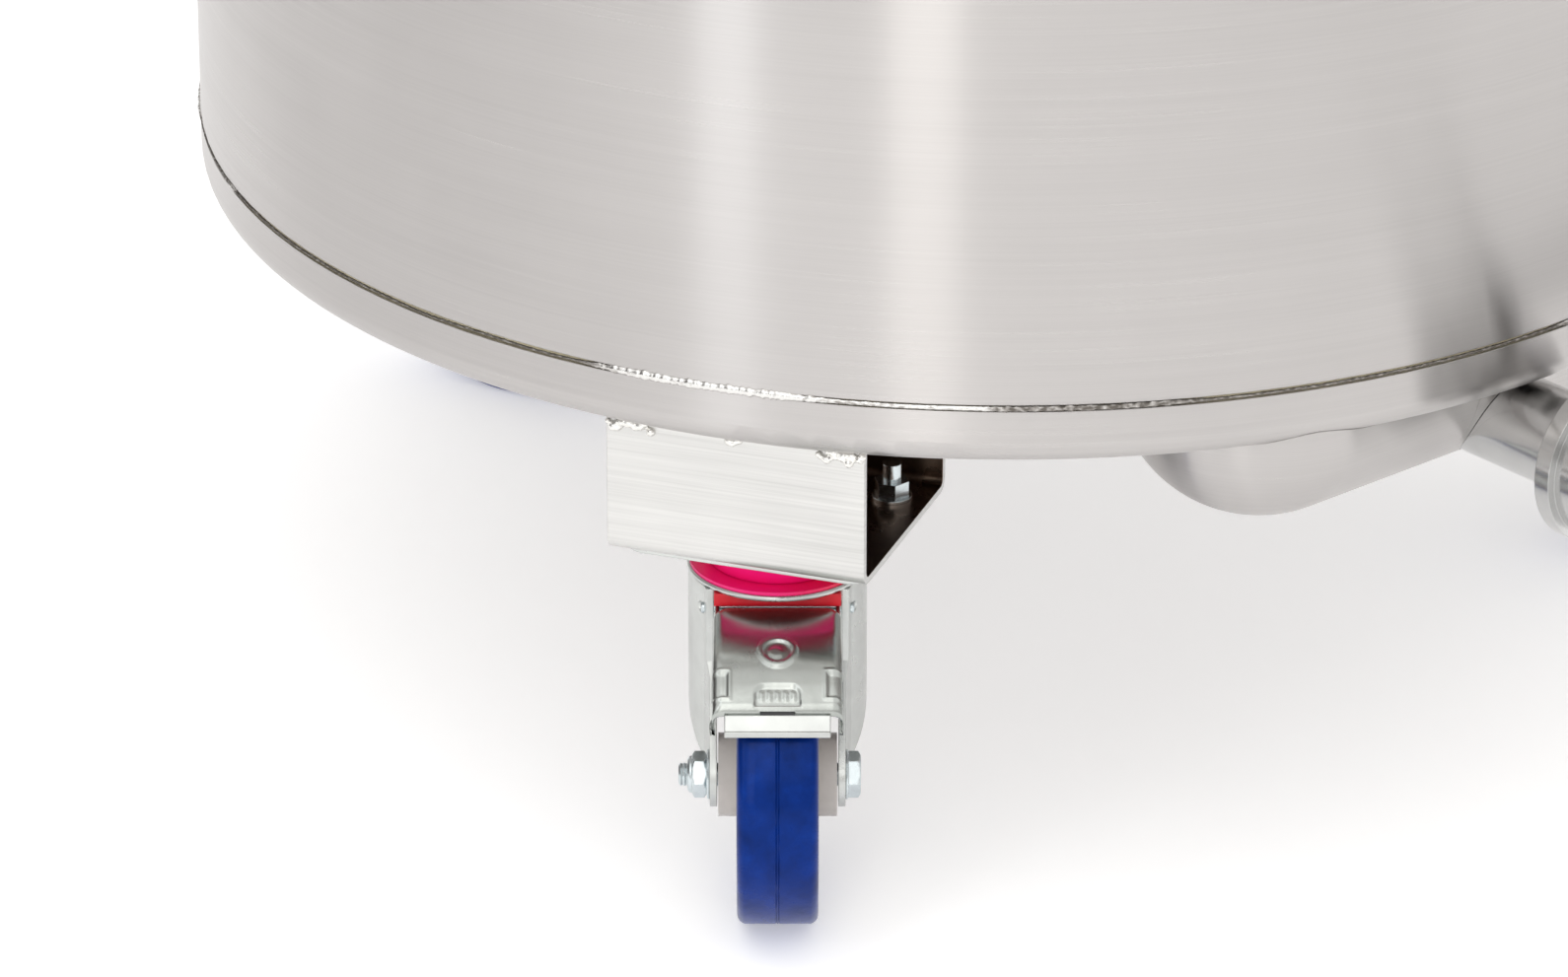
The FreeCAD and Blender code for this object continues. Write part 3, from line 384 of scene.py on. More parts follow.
def piece(name, points, faces, matrix, body, material, *covers, smooth=35, bevel=0.0, thick=0.0):
    """One mesh piece, placed by matrix, riding on a body and standing for the nodes it covers."""
    mesh = bpy.data.meshes.new(name)
    mesh.from_pydata([tuple(point) for point in points], [], faces)
    shape = bmesh.new()
    shape.from_mesh(mesh)
    bmesh.ops.remove_doubles(shape, verts=shape.verts, dist=MERGE_GAP)
    bmesh.ops.recalc_face_normals(shape, faces=shape.faces)
    shape.to_mesh(mesh)
    shape.free()
    mesh.transform(matrix @ Matrix.Scale(MM, 4))
    mesh.shade_smooth()
    mesh.set_sharp_from_angle(angle=math.radians(smooth))
    mesh.materials.append(materials[material])
    made = bpy.data.objects.new(name, mesh)
    bpy.context.scene.collection.objects.link(made)
    if thick:
        solid = made.modifiers.new("wall", "SOLIDIFY")
        solid.thickness = thick * MM
        solid.offset = -1.0
    if bevel:
        soft = made.modifiers.new("soft_edges", "BEVEL")
        soft.width = bevel * MM
        soft.segments = 2
        soft.limit_method = "ANGLE"
        soft.harden_normals = True
    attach(made, body)
    if covers:
        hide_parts(*covers)
    return made


def grid_faces(rows, columns, closed=False):
    """Quads over a grid of points stored row by row; closed joins the last row to the first."""
    faces = []
    for row in range(rows if closed else rows - 1):
        for column in range(columns - 1):
            a, b = row * columns + column, (row + 1) % rows * columns + column
            faces.append((a, a + 1, b + 1, b))
    return faces


def lathe(profile, steps=96, radius=None):
    """Points and faces of an (r, h) line turned about Z; radius(turn, r, h) may reshape it."""
    points = []
    for step in range(steps):
        turn = 2 * math.pi * step / steps
        for r, h in profile:
            reach = radius(turn, r, h) if radius else r
            points.append((reach * math.cos(turn), reach * math.sin(turn), h))
    return points, grid_faces(steps, len(profile), closed=True)


def prism(outline, half):
    """A (forward, height) outline drawn out across X to both sides."""
    count = len(outline)
    points = [(x, -d, z) for x in (-half, half) for d, z in outline]
    sides = [(i, (i + 1) % count, (i + 1) % count + count, i + count) for i in range(count)]
    return points, sides + [tuple(range(count)), tuple(range(2 * count - 1, count - 1, -1))]


def merged(*parts):
    """Several shapes as one list of points and faces."""
    points, faces = [], []
    for part_points, part_faces in parts:
        start = len(points)
        points += part_points
        faces += [tuple(index + start for index in face) for face in part_faces]
    return points, faces


def moved(part, matrix):
    points, faces = part
    return [tuple(matrix @ Vector(point)) for point in points], faces


def hexed(flats, low, high):
    """Radius rule for a hexagon between two heights whose corners are turned off at both ends."""
    def radius(turn, r, h):
        if r < flats * 0.42:
            return r
        side = (turn + math.pi / 6) % (math.pi / 3) - math.pi / 6
        corner = flats / 2 / math.cos(side)
        end = min(h - low, high - h)
        return min(corner, flats / 2 * 0.97 + max(end, 0.0) * HEX_CHAMFER_SLOPE)
    return radius


def hex_nut(flats, low, high, bore):
    """A nut, or a plain hexagonal block where bore is 0."""
    r = flats / 2
    wall = [(r * 1.2, low + h) for h in HEX_RISE] + [(r * 1.2, high - h) for h in reversed(HEX_RISE)]
    line = [(bore, low), (r * 0.9, low)] + wall + [(r * 0.9, high), (bore, high)]
    if bore:
        line.append((bore, low))
    return lathe(line, 96, hexed(flats, low, high))


def ringed(r, low, high):
    """A threaded end: ridges at each turn, closed with a chamfer."""
    line = [(0.0, low), (r, low)]
    threaded = high - low - THREAD_CHAMFER
    count = max(2, int(threaded / THREAD_PITCH * 2))
    for index in range(count):
        h = low + threaded * (index + 1) / count
        line.append((r - (THREAD_DEPTH if index % 2 == 0 else 0.0), h))
    line += [(r - THREAD_CHAMFER, high), (0.0, high + 0.25)]
    return lathe(line, 64)


def smooth_step(value, low, high):
    """From 0 below low to 1 above high, with soft ends."""
    t = min(1.0, max(0.0, (value - low) / (high - low)))
    return t * t * (3 - 2 * t)


def caster_frame(place):
    """From a caster's own frame, wheel trailing along -Y and heights from the floor, to the row frame."""
    low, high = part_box(f"caster_seal_{place}")
    x = Vector(joints[f"wheel_{place}_spin"]["axis"]).normalized()
    z = Vector((0, 0, 1))
    frame_matrix = Matrix((x, z.cross(x), z)).transposed().to_4x4()
    centre = (low + high) / 2
    frame_matrix.translation = (centre.x, centre.y, cad_low.z)
    return frame_matrix


def axle_frame(place):
    """A frame at the wheel's centre whose Z axis is the axle."""
    low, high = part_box(f"wheel_tread_{place}")
    turn = caster_frame(place).to_3x3().to_4x4()
    return Matrix.Translation((low + high) / 2) @ turn @ ALONG_X


# ---- brake pedal: a pressed hood with stamped marks, a turned lip and a shoe under it ----
# Sizes are in millimetres. Reaches are counted from the caster's swivel axis, heights from the floor.
PEDAL_LINE = [(31.5, 0.0), (41.8, 2.1), (52.0, 4.2), (64.0, 8.0), (74.0, 13.8), (83.5, 20.2), (93.0, 26.5)]
HOOD_HALF = 27.0
HOOD_FRONT = 84.6
HOOD_BACK = 31.5
HOOD_SIDE = 12.0
CORNER_R = 4.0
BACK_CORNER_R = 5.0
BACK_LIP = 6.0
FRONT_LIP = 1.8
BRAKE_IN = 66.3
BRAKE_OUT = 68.3
AXLE_TRAIL = 39.6
ARC_STEPS = 6
BACK_BEND = 1.2
FRONT_BEND = 1.8
HOOD_WALL = 1.4
HOOD_COLUMNS = 84
NOTCH_HALF = 7.2
NOTCH_DEPTH = 1.2
GAP_HALF = 20.6
SLOT_HALF = 7.0
SHOE_HALF = 21.8
SHOE_TIP = 91.6
SPRING_HALF = 7.4
EAR_R = 4.6
EAR_HALF = 0.9
EAR_SPREAD = 25.1
PIVOT_REACH = 20.0


def pedal_drop(d):
    """How far the hood's top line lies under its highest point at that reach."""
    last = len(PEDAL_LINE) - 2
    index = max(i for i in range(last + 1) if PEDAL_LINE[i][0] <= max(d, HOOD_BACK))
    (d0, z0), (d1, z1) = PEDAL_LINE[index], PEDAL_LINE[index + 1]
    before = PEDAL_LINE[index - 1] if index else (2 * d0 - d1, 2 * z0 - z1)
    after = PEDAL_LINE[index + 2] if index < last else (2 * d1 - d0, 2 * z1 - z0)
    slope0 = (z1 - before[1]) / (d1 - before[0]) * (d1 - d0)
    slope1 = (after[1] - z0) / (after[0] - d0) * (d1 - d0)
    t = (d - d0) / (d1 - d0)
    return (
        (2 * t**3 - 3 * t**2 + 1) * z0 + (t**3 - 2 * t**2 + t) * slope0
        + (3 * t**2 - 2 * t**3) * z1 + (t**3 - t**2) * slope1
    )


def brake_arc(axle_z, inner, outer, start, end):
    """Outline of a plate that follows the wheel, between two reaches and two angles from its axle."""
    turns = [math.radians(start + (end - start) * i / ARC_STEPS) for i in range(ARC_STEPS + 1)]
    out = [(AXLE_TRAIL + outer * math.cos(a), axle_z + outer * math.sin(a)) for a in turns]
    return out + [(AXLE_TRAIL + inner * math.cos(a), axle_z + inner * math.sin(a)) for a in reversed(turns)]


def stamped(x, d):
    """Height of the marks stamped into the hood: a ring, a small half-oval and two corner recesses."""
    ring = math.hypot(x, (d - 60.0) * 1.05)
    height = 0.75 * (smooth_step(ring, 5.6, 6.4) - smooth_step(ring, 7.9, 8.9))
    height += 0.35 * (1 - smooth_step(math.hypot(x + 0.8, d - 60.5), 1.8, 3.6))
    height -= 0.25 * (1 - smooth_step(ring, 4.6, 5.8))
    oval = math.hypot(max(abs(x) - 5.4, 0.0), max(79.2 - d, 0.0)) - 4.0
    inside = 1 - smooth_step(oval, -0.5, 0.5)
    height -= 0.9 * inside
    height += 0.45 * inside * (0.5 + 0.5 * math.cos(x * 1.9)) * (1 - smooth_step(abs(d - 79.0), 1.2, 2.2))
    edge = max(20.6 - abs(x), 70.0 - d, d - 79.6)
    height -= 0.9 * (1 - smooth_step(edge, -0.6, 0.5))
    height += 0.35 * (1 - smooth_step(abs(edge - 0.9), 0.2, 0.9))
    return height


def hood_path():
    """The hood's (reach, fall) line from its back lip over the top to its front lip."""
    path = [(HOOD_BACK, BACK_LIP * (1 - i / 6) + BACK_BEND) for i in range(6)]
    path += [(HOOD_BACK + BACK_BEND * (1 - math.cos(a)), BACK_BEND * (1 - math.sin(a)))
             for a in (0.0, 0.5, 1.0, 1.57)]
    steps = int((HOOD_FRONT - HOOD_BACK - 3) * 2)
    path += [(HOOD_BACK + 1.4 + (HOOD_FRONT - HOOD_BACK - 3.2) * i / steps, 0.0) for i in range(steps + 1)]
    path += [(HOOD_FRONT - FRONT_BEND + FRONT_BEND * math.sin(a), FRONT_BEND * (1 - math.cos(a)))
             for a in (0.4, 0.8, 1.2, 1.57)]
    return path + [(HOOD_FRONT, FRONT_BEND + FRONT_LIP * (i + 1) / 4) for i in range(4)]


def make_hood(top):
    """The pressed hood as one sheet, its sides rounded over and its marks stamped in."""
    path = hood_path()
    arc = [math.pi / 2 * i / 7 for i in range(8)]
    edge = [(0.0, HOOD_SIDE - (HOOD_SIDE - CORNER_R) * i / 6) for i in range(6)]
    edge += [(CORNER_R * (1 - math.cos(a)), CORNER_R * (1 - math.sin(a))) for a in arc]
    points = []
    for d, lower in path:
        back = max(0.0, HOOD_BACK + BACK_CORNER_R - d)
        half = HOOD_HALF - BACK_CORNER_R + math.sqrt(BACK_CORNER_R**2 - back**2)
        line = top - pedal_drop(d)
        flat = half - CORNER_R
        across = [-flat + 2 * flat * i / HOOD_COLUMNS for i in range(1, HOOD_COLUMNS)]
        section = [(-half + inset, fall) for inset, fall in edge] + [(x, 0.0) for x in across]
        section += [(half - inset, fall) for inset, fall in reversed(edge)]
        for x, fall in section:
            notched = abs(x) < NOTCH_HALF and d > HOOD_FRONT - 2
            lip = min(lower, NOTCH_DEPTH) if notched else lower
            z = max(line - lip - fall, line - HOOD_SIDE)
            if lower == 0.0 and fall < CORNER_R * 0.9:
                z += stamped(x, d)
            points.append((x, -d, z))
    return points, grid_faces(len(path), len(section))


def make_pedal(place):
    top = (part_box(f"brake_pedal_{place}")[1].z - cad_low.z) / MM
    low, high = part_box(f"wheel_tread_{place}")
    axle_z = ((low.z + high.z) / 2 - cad_low.z) / MM
    frame_matrix = caster_frame(place)
    body = f"pedal_{place}"
    piece(f"pedal_hood_{place}", *make_hood(top), frame_matrix, body, "pedal_zinc",
          f"brake_pedal_{place}", thick=HOOD_WALL)
    shoe = brake_arc(axle_z, BRAKE_IN, BRAKE_OUT, 47.5, 41.5)
    front = shoe[ARC_STEPS][1]
    shoe[ARC_STEPS + 1:ARC_STEPS + 1] = [
        (SHOE_TIP, front - 0.2), (SHOE_TIP, front - 2.7), (SHOE_TIP - 1.3, front - 2.7)
    ]
    # A dark plate behind the hood's lip: painted shadow in the gap under the hood.
    gap = brake_arc(axle_z, BRAKE_IN, BRAKE_OUT - 0.9, 52.5, 47.0)
    piece(f"pedal_gap_shadow_{place}", *prism(gap, GAP_HALF), frame_matrix, body, "pedal_shadow", bevel=0.2)
    # A black block in the lip's notch: painted shadow for the dark slot.
    slot = brake_arc(axle_z, BRAKE_IN, BRAKE_OUT - 0.5, 50.5, 47.2)
    piece(f"pedal_slot_shadow_{place}", *prism(slot, SLOT_HALF), frame_matrix, body, "black_plastic", bevel=0.2)
    piece(f"pedal_shoe_{place}", *prism(shoe, SHOE_HALF), frame_matrix, body, "zinc_steel", bevel=0.45)
    stop = [(80.5, top - 21.2), (82.6, top - 22.8), (82.6, top - 21.3), (80.5, top - 19.9)]
    piece(f"pedal_spring_{place}", *prism(stop, SPRING_HALF), frame_matrix, body, "black_plastic", bevel=0.5)
    pivot_z = top - 5.5
    curve = [(PIVOT_REACH + EAR_R * math.cos(a), pivot_z + EAR_R * math.sin(a))
             for a in (math.pi / 2 + math.pi * i / 14 for i in range(15))]
    ear = prism(curve + [(36.0, top - 10.1), (36.0, top - 3.2)], EAR_HALF)
    ears = merged(*[moved(ear, Matrix.Translation((x, 0, 0))) for x in (-EAR_SPREAD, EAR_SPREAD)])
    piece(f"pedal_ears_{place}", *ears, frame_matrix, body, "zinc_steel", bevel=0.3)


# ---- wheel and axle ----
TREAD_HALF = 17.0
TREAD_EDGE_R = 4.2
FORK_HALF = 28.3
WASHER_TOP = FORK_HALF + 1.2
WASHER_R = 10.2
HEAD_TOP = 34.7
AXLE_FLATS = 17.0
AXLE_R = 5.0
COLLAR_R = 7.9
PIN_R = 2.5
PIN_HALF = 31.9


def make_wheel(place):
    """The cast tread: a stepped face, a round edge and a ragged parting ridge along the middle."""
    low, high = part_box(f"wheel_tread_{place}")
    wheel_r = (high.z - low.z) / 2 / MM
    face = [(wheel_r - 15.0, -TREAD_HALF), (wheel_r - 13.4, -TREAD_HALF), (wheel_r - 12.6, -TREAD_HALF + 0.5),
            (wheel_r - 6.2, -TREAD_HALF + 0.5), (wheel_r - 4.6, -TREAD_HALF + 0.1)]
    face += [(wheel_r - TREAD_EDGE_R + TREAD_EDGE_R * math.sin(a) * 0.99,
              -TREAD_HALF + TREAD_EDGE_R * (1 - math.cos(a)) + 0.1)
             for a in (math.pi / 2 * i / 8 for i in range(1, 8))]
    face += [(wheel_r - 0.2, -9.0), (wheel_r - 0.12, -4.0), (wheel_r - 0.1, -0.9)]
    parting = [(wheel_r - 0.45, -0.5), (wheel_r, -0.15)]
    line = face + parting
    line = line + [(r, -h) for r, h in reversed(line)]
    line.append(line[0])

    def cast(turn, r, h):
        if abs(h) < 0.3:
            return r - 0.5 * max(0.0, noise.noise(Vector((math.cos(turn) * 9, math.sin(turn) * 9, h))))
        return r
    tread = lathe(line, 220, cast)
    body = f"wheel_{place}"
    piece(f"tread_{place}", *tread, axle_frame(place), body, "blue_polyurethane", f"wheel_tread_{place}")


def make_axle(place):
    """Chamfered bolt head, a locking nut with its domed collar, the bolt's threaded end and the pivot pin."""
    head = [(0.0, HEAD_TOP - 0.2), (5.6, HEAD_TOP - 0.2), (6.0, HEAD_TOP), (7.6, HEAD_TOP)]
    head += [(WASHER_R, HEAD_TOP - h) for h in HEX_RISE] + [(WASHER_R, WASHER_TOP)]
    hexagon = hexed(AXLE_FLATS, FORK_HALF - 4, HEAD_TOP)
    bolt = lathe(head + [(COLLAR_R, WASHER_TOP), (0.0, WASHER_TOP)], 96, hexagon)
    washer = lathe([(AXLE_R, FORK_HALF), (WASHER_R, FORK_HALF), (WASHER_R + 0.4, FORK_HALF + 0.4),
                    (WASHER_R, WASHER_TOP), (AXLE_R, WASHER_TOP)], 64)
    nut_top = FORK_HALF + 7.4
    nut = hex_nut(AXLE_FLATS, WASHER_TOP, nut_top, AXLE_R)
    dome = lathe([(AXLE_R, nut_top), (COLLAR_R, nut_top), (COLLAR_R - 0.2, nut_top + 1.0),
                  (COLLAR_R - 1.0, nut_top + 1.8), (AXLE_R + 0.2, nut_top + 2.0)], 64)
    end = ringed(AXLE_R, FORK_HALF + 6.0, FORK_HALF + 13.0)
    shank = lathe([(0.0, -FORK_HALF - 7), (AXLE_R - 0.1, -FORK_HALF - 7),
                   (AXLE_R - 0.1, FORK_HALF + 2), (0.0, FORK_HALF + 2)], 48)
    parts = [bolt, washer, moved(washer, FLIPPED), moved(nut, FLIPPED), moved(dome, FLIPPED),
             moved(end, FLIPPED), shank]
    body = f"swivel_{place}"
    piece(f"axle_{place}", *merged(*parts), axle_frame(place), body, "zinc_bolt",
          f"axle_set_{place}", smooth=28)
    top = (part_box(f"brake_cam_{place}")[1].z - cad_low.z) / MM
    pin = lathe([(0.0, -PIN_HALF), (PIN_R - 0.4, -PIN_HALF), (PIN_R, -PIN_HALF + 0.4),
                 (PIN_R, PIN_HALF - 0.4), (PIN_R - 0.4, PIN_HALF), (0.0, PIN_HALF)], 40)
    turn = Matrix.Translation((0, -PIVOT_REACH, top - 10.5)) @ ALONG_X
    piece(f"pivot_pin_{place}", *moved(pin, turn), caster_frame(place), body, "zinc_bolt")


# ---- welds ----
# Along the front left of the rim: bearing, half height, proud height, strength, brightness. The brightness column
# is painted light: its bright stretches are painted highlights where the strip lights are mirrored in the bead.
SEAM_STOPS = [
    (-110.0, 0.5, 0.35, 0.5, 0.16), (-71.0, 0.5, 0.35, 0.6, 0.16), (-67.0, 2.0, 1.25, 1.0, 0.95),
    (-56.0, 2.0, 1.2, 1.0, 0.95), (-52.0, 1.0, 0.6, 0.4, 0.6), (-43.0, 1.1, 0.7, 0.35, 0.95),
    (-41.0, 1.3, 0.8, 0.9, 0.25), (-30.0, 1.2, 0.7, 0.8, 0.25), (-27.0, 0.6, 0.4, 0.5, 0.22),
    (-10.0, 0.6, 0.4, 0.5, 0.22),
]
SEAM_STEPS = 3000
SEAM_ACROSS = 11
SEAM_SUNK = 0.6


def seam_state(bearing):
    """How the rim's weld looks at a bearing: half height, proud height, bead strength and brightness, the
    brightness holding painted highlights along the front and random tone elsewhere.
    """
    if SEAM_STOPS[0][0] <= bearing <= SEAM_STOPS[-1][0]:
        for before, after in zip(SEAM_STOPS, SEAM_STOPS[1:]):
            if bearing <= after[0]:
                t = (bearing - before[0]) / (after[0] - before[0])
                return [a + (b - a) * t for a, b in zip(before[1:], after[1:])]
    turn = math.radians(bearing)
    wander = noise.noise(Vector((math.cos(turn) * 4, math.sin(turn) * 4, 7.0)))
    strong = smooth_step(wander, -0.1, 0.25)
    return [0.6 + 1.1 * strong, 0.4 + 0.7 * strong, 0.35 + 0.6 * strong, 0.15 + 0.75 * strong]


def make_seam():
    """The bead around the rim: ripples and drops that swell and thin out along it."""
    points, tone_and_painted_highlight = [], []
    reach = shell_r / MM
    for step in range(SEAM_STEPS):
        bearing = -180.0 + 360.0 * step / SEAM_STEPS
        # The brightness taken here is painted highlight along the front of the rim.
        tall, proud, strength, bright = seam_state(bearing)
        along = step * 2 * math.pi * reach / SEAM_STEPS
        spot = Vector((along * 0.35, 0.0, 3.0))
        blob = noise.noise(spot) * 0.9 + noise.noise(spot * 2.7) * 0.6
        tall *= 1 + 0.55 * strength * blob
        proud *= 1 + 0.6 * strength * blob
        drift = 0.5 * noise.noise(Vector((along * 0.03, 5.0, 0.0)))
        drift += 0.35 * strength * noise.noise(spot * 1.7)
        for index in range(SEAM_ACROSS):
            turn = math.pi * index / (SEAM_ACROSS - 1) - math.pi / 2
            r = reach - SEAM_SUNK + (max(proud, 0.15) + SEAM_SUNK) * math.cos(turn)
            height = seam_z / MM + drift + max(tall, 0.3) * math.sin(turn)
            points.append(tuple(around(bearing, r, height)))
            glint = 0.55 * noise.noise(spot * 1.3 + Vector((0, index * 0.3, 9)))
            tone_and_painted_highlight.append(min(1.0, max(0.0, bright + glint)))
    faces = grid_faces(SEAM_STEPS, SEAM_ACROSS, closed=True)
    ring = piece("rim_seam", points, faces, Matrix.Identity(4), "tank", "weld_bead", "seam_weld", smooth=80)
    if len(ring.data.vertices) == len(tone_and_painted_highlight):
        layer = ring.data.color_attributes.new("shade", "FLOAT_COLOR", "POINT")
        for item, value in zip(layer.data, tone_and_painted_highlight):
            item.color = (value, value, value, 1.0)


def islands(mesh):
    """The separate solids of a mesh, each as a list of its points, in the same order every run."""
    shape = bmesh.new()
    shape.from_mesh(mesh)
    bmesh.ops.remove_doubles(shape, verts=shape.verts, dist=0.00001)
    left = dict.fromkeys(shape.verts)
    found = []
    while left:
        open_ends = [left.popitem()[0]]
        group = list(open_ends)
        while open_ends:
            vert = open_ends.pop()
            near = [other for other in (edge.other_vert(vert) for edge in vert.link_edges) if other in left]
            for other in near:
                del left[other]
            open_ends += near
            group += near
        found.append([vert.co.copy() for vert in group])
    shape.free()
    return found


DROP_SPACING = 0.0011
DROP_SMALL = 0.0011
DROP_LARGE = 0.0023
DROP_SPREAD = 0.0006
DROP_DRIFT = 0.0011
WELD_INSET = 0.0016
FRONT_WELD_REACH = 0.28
MELT_GRAIN = 0.0005


def make_bracket_welds():
    """Hand-laid beads: drops of melt dropped along each weld and run together."""
    rng = random.Random(11)
    shape = bmesh.new()
    for group in islands(nodes["bracket_welds"].data):
        centre = sum(group, Vector()) / len(group)
        bearing = math.degrees(math.atan2(centre.x, -centre.y))
        place = min(BRACKET_BEARINGS.values(), key=lambda b: abs((bearing - b + 180) % 360 - 180))
        side = around(place + 90, 1.0)
        out = around(place, 1.0)
        reach = [point.dot(side) for point in group]
        start, length = min(reach), max(reach) - min(reach)
        count = max(4, int(length / DROP_SPACING))
        depths = [point.dot(out) for point in group]
        edge = max(depths) - WELD_INSET if centre.dot(out) > FRONT_WELD_REACH else min(depths) + WELD_INSET
        for index in range(count):
            along = start + length * (index + rng.random()) / count
            spot = side * along + out * (edge + rng.uniform(-DROP_SPREAD, DROP_SPREAD))
            spot.z = centre.z + rng.gauss(0, DROP_DRIFT)
            r = rng.uniform(DROP_SMALL, DROP_LARGE)
            bmesh.ops.create_icosphere(shape, subdivisions=2, radius=r, matrix=Matrix.Translation(spot))
    mesh = bpy.data.meshes.new("bracket_beads")
    shape.to_mesh(mesh)
    shape.free()
    beads = bpy.data.objects.new("bracket_beads", mesh)
    bpy.context.scene.collection.objects.link(beads)
    remesh = beads.modifiers.new("melt", "REMESH")
    remesh.mode = "VOXEL"
    remesh.voxel_size = MELT_GRAIN
    remesh.use_smooth_shade = True
    settled = beads.modifiers.new("settle", "SMOOTH")
    settled.iterations = 2
    mesh.materials.append(materials["bracket_bead"])
    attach(beads, "tank")
    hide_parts("bracket_welds")


RACE_TOP = 0.0118
SHEET = 0.0026


def dress_races():
    """The dust seal wraps each swivel race, so the race's cone shows the seal's colour."""
    plates = nodes["caster_plates"]
    plates.data.materials.append(materials["seal_plastic"])
    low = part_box("caster_plates")[0].z
    for face in plates.data.polygons:
        if face.center.z < low + RACE_TOP:
            face.material_index = 1


def shade_bracket_insides():
    """The channel's inside faces are painted dark brown: painted shade in the channel's hollow."""
    for place, bearing in BRACKET_BEARINGS.items():
        node = nodes[f"bracket_{place}"]
        # A second material paints shade on the channel's inside faces.
        node.data.materials.append(materials["bracket_inside_painted_shade"])
        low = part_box(f"bracket_{place}")[0]
        out = around(bearing, 1.0)
        reach = [vert.co.dot(out) for vert in node.data.vertices]
        back, front = min(reach) + SHEET, max(reach) - SHEET
        for face in node.data.polygons:
            across = face.center.dot(out)
            inward = abs(face.normal.dot(around(bearing + 90, 1.0))) < 0.5
            if inward and back < across < front and face.center.z > low.z + 0.0004:
                face.material_index = 1


# ---- fittings on the lid, box and motor ----
def screw(name, spot, way, body, r=3.2, tall=1.8, material="zinc_bolt"):
    """A domed screw with a cross recess, its head standing on spot and facing along way."""
    line = [(0.0, tall * 0.55), (r * 0.16, tall * 0.55), (r * 0.2, tall), (r * 0.6, tall * 0.93),
            (r * 0.88, tall * 0.62), (r, tall * 0.18), (r, -0.6), (0.0, -0.6)]

    def recess(turn, reach, h):
        if r * 0.15 < reach < r * 0.65 and h > tall * 0.5:
            return reach * (1.0 if abs(math.cos(2 * turn)) > 0.86 else 0.75)
        return reach
    matrix = Matrix.Translation(spot) @ Vector(way).to_track_quat("Z", "Y").to_matrix().to_4x4()
    piece(name, *lathe(line, 48, recess), matrix, body, material)


def rounded_plate(half_x, half_y, r, low, high):
    """A flat plate with round corners between two heights."""
    corners = ((1, 1, 0), (-1, 1, 90), (-1, -1, 180), (1, -1, 270))
    line = []
    for sx, sy, start in corners:
        for turn in (math.radians(start + 90 * i / 6) for i in range(7)):
            line.append((sx * (half_x - r) + r * math.cos(turn), sy * (half_y - r) + r * math.sin(turn)))
    count = len(line)
    points = [(x, y, z) for z in (low, high) for x, y in line]
    sides = [(i, (i + 1) % count, (i + 1) % count + count, i + count) for i in range(count)]
    return points, sides + [tuple(range(count)), tuple(range(count, 2 * count))]


def make_gearbox_bolts():
    low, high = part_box("gearbox")
    foot_x, foot_y = (high.x - low.x) / 2 - 0.011, (high.y - low.y) / 2 - 0.012
    foot_z = low.z + 0.008
    nut = merged(hex_nut(10.0, 0.0, 5.0, 0.0), lathe([(5, -0.3), (7.2, -0.3), (7.2, 0.3), (5, 0.3)], 48))
    for index, (sx, sy) in enumerate(CORNERS):
        spot = Matrix.Translation((sx * foot_x, sy * foot_y, foot_z))
        piece(f"gearbox_bolt_{index}", *nut, spot, "tank", "zinc_bolt")


def make_fan_grille():
    """Black rings and a hub on top of the motor's fan cover; the rings stand in for the grille's slots as painted
    shade in the openings.
    """
    low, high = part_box("motor_fan_cover")
    r = (high.x - low.x) / 2 / MM
    slots = []
    for ring in (0.34, 0.5, 0.66, 0.8):
        inner, outer = r * ring - 1.6, r * ring + 1.6
        slots.append(lathe([(inner, -0.4), (inner, 0.35), (outer, 0.35), (outer, -0.4)], 72))
    slots.append(lathe([(0.0, -0.4), (0.0, 1.0), (r * 0.14, 1.0), (r * 0.16, -0.4)], 48))
    matrix = Matrix.Translation(((low.x + high.x) / 2, (low.y + high.y) / 2, high.z))
    piece("fan_grille", *merged(*slots), matrix, "tank", "black_plastic")


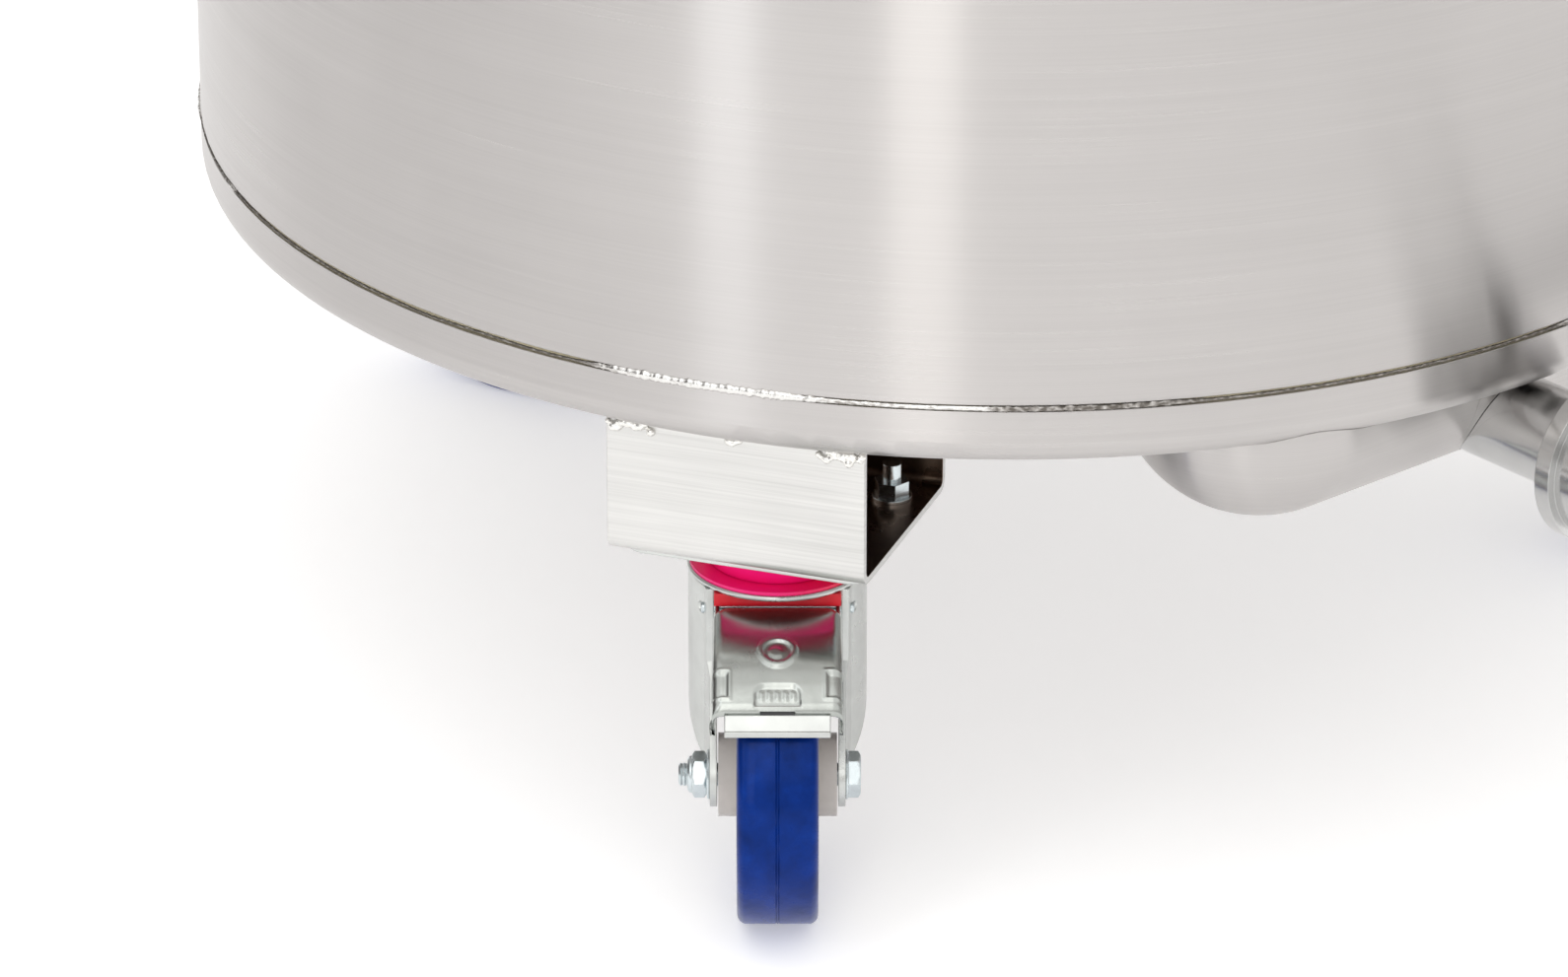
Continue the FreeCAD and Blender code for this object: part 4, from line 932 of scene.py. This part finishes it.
def make_terminal_screws():
    low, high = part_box("terminal_box")
    mid = (low + high) / 2
    outward = Vector((1.0 if abs(high.x) > abs(low.x) else -1.0, 0, 0))
    face_x = high.x if outward.x > 0 else low.x
    for index, (sy, sz) in enumerate(CORNERS):
        spot = Vector((face_x, mid.y + sy * 0.025, mid.z + sz * 0.023))
        screw(f"terminal_screw_{index}", spot, outward, "tank", r=2.6)


def middle_and_half(values):
    low, high = min(values), max(values)
    return (low + high) / 2, (high - low) / 2


def make_panel_fittings():
    """Four corner screws and the dark glass of the display, on the control panel's sloping face."""
    face = -Vector(joints["power_switch_turn"]["axis"]).normalized()
    if face.z < 0:
        face = -face
    along = Vector((1, 0, 0))
    up = face.cross(along)
    panel = [vert.co for vert in nodes["control_panel"].data.vertices]
    top = max(point.dot(face) for point in panel)
    base = [point for point in panel if point.dot(face) > top - 0.004]
    mid_x, half_x = middle_and_half([point.x for point in base])
    mid_up, half_up = middle_and_half([point.dot(up) for point in base])
    inset, sunk = 0.0055, 0.001
    for index, (sx, sy) in enumerate(CORNERS):
        spot = along * (mid_x + sx * (half_x - inset)) + up * (mid_up + sy * (half_up - inset))
        screw(f"panel_screw_{index}", spot + face * (top - sunk), face, "tank", r=2.4, tall=1.3)
    raised = [point for point in base if point.dot(face) > top - 0.0004]
    mid_x, half_x = middle_and_half([point.x for point in raised])
    mid_up, half_up = middle_and_half([point.dot(up) for point in raised])
    glass = rounded_plate(half_x / MM - 1.5, half_up / MM - 1.5, 2.0, -0.2, 0.25)
    matrix = Matrix((along, up, face)).transposed().to_4x4()
    matrix.translation = along * mid_x + up * mid_up + face * top
    piece("display_glass", *glass, matrix, "tank", "display_glass")


# ---- the tank, put together ----
def dress(node, material):
    node.data.materials.clear()
    node.data.materials.append(material)


make_camera()
make_floor()
make_lights()
materials = make_materials()
slots = {part["node"]: part["material_slot"] for part in frame["record"]["subparts"]}
for name, node in nodes.items():
    dress(node, materials[slots[name]])
for place in PLACES:
    dress(nodes[f"caster_seal_{place}"], materials["seal_plastic"])
    make_pedal(place)
    make_wheel(place)
    make_axle(place)
shade_bracket_insides()
dress_races()
make_seam()
make_bracket_welds()
make_gearbox_bolts()
make_fan_grille()
make_terminal_screws()
make_panel_fittings()
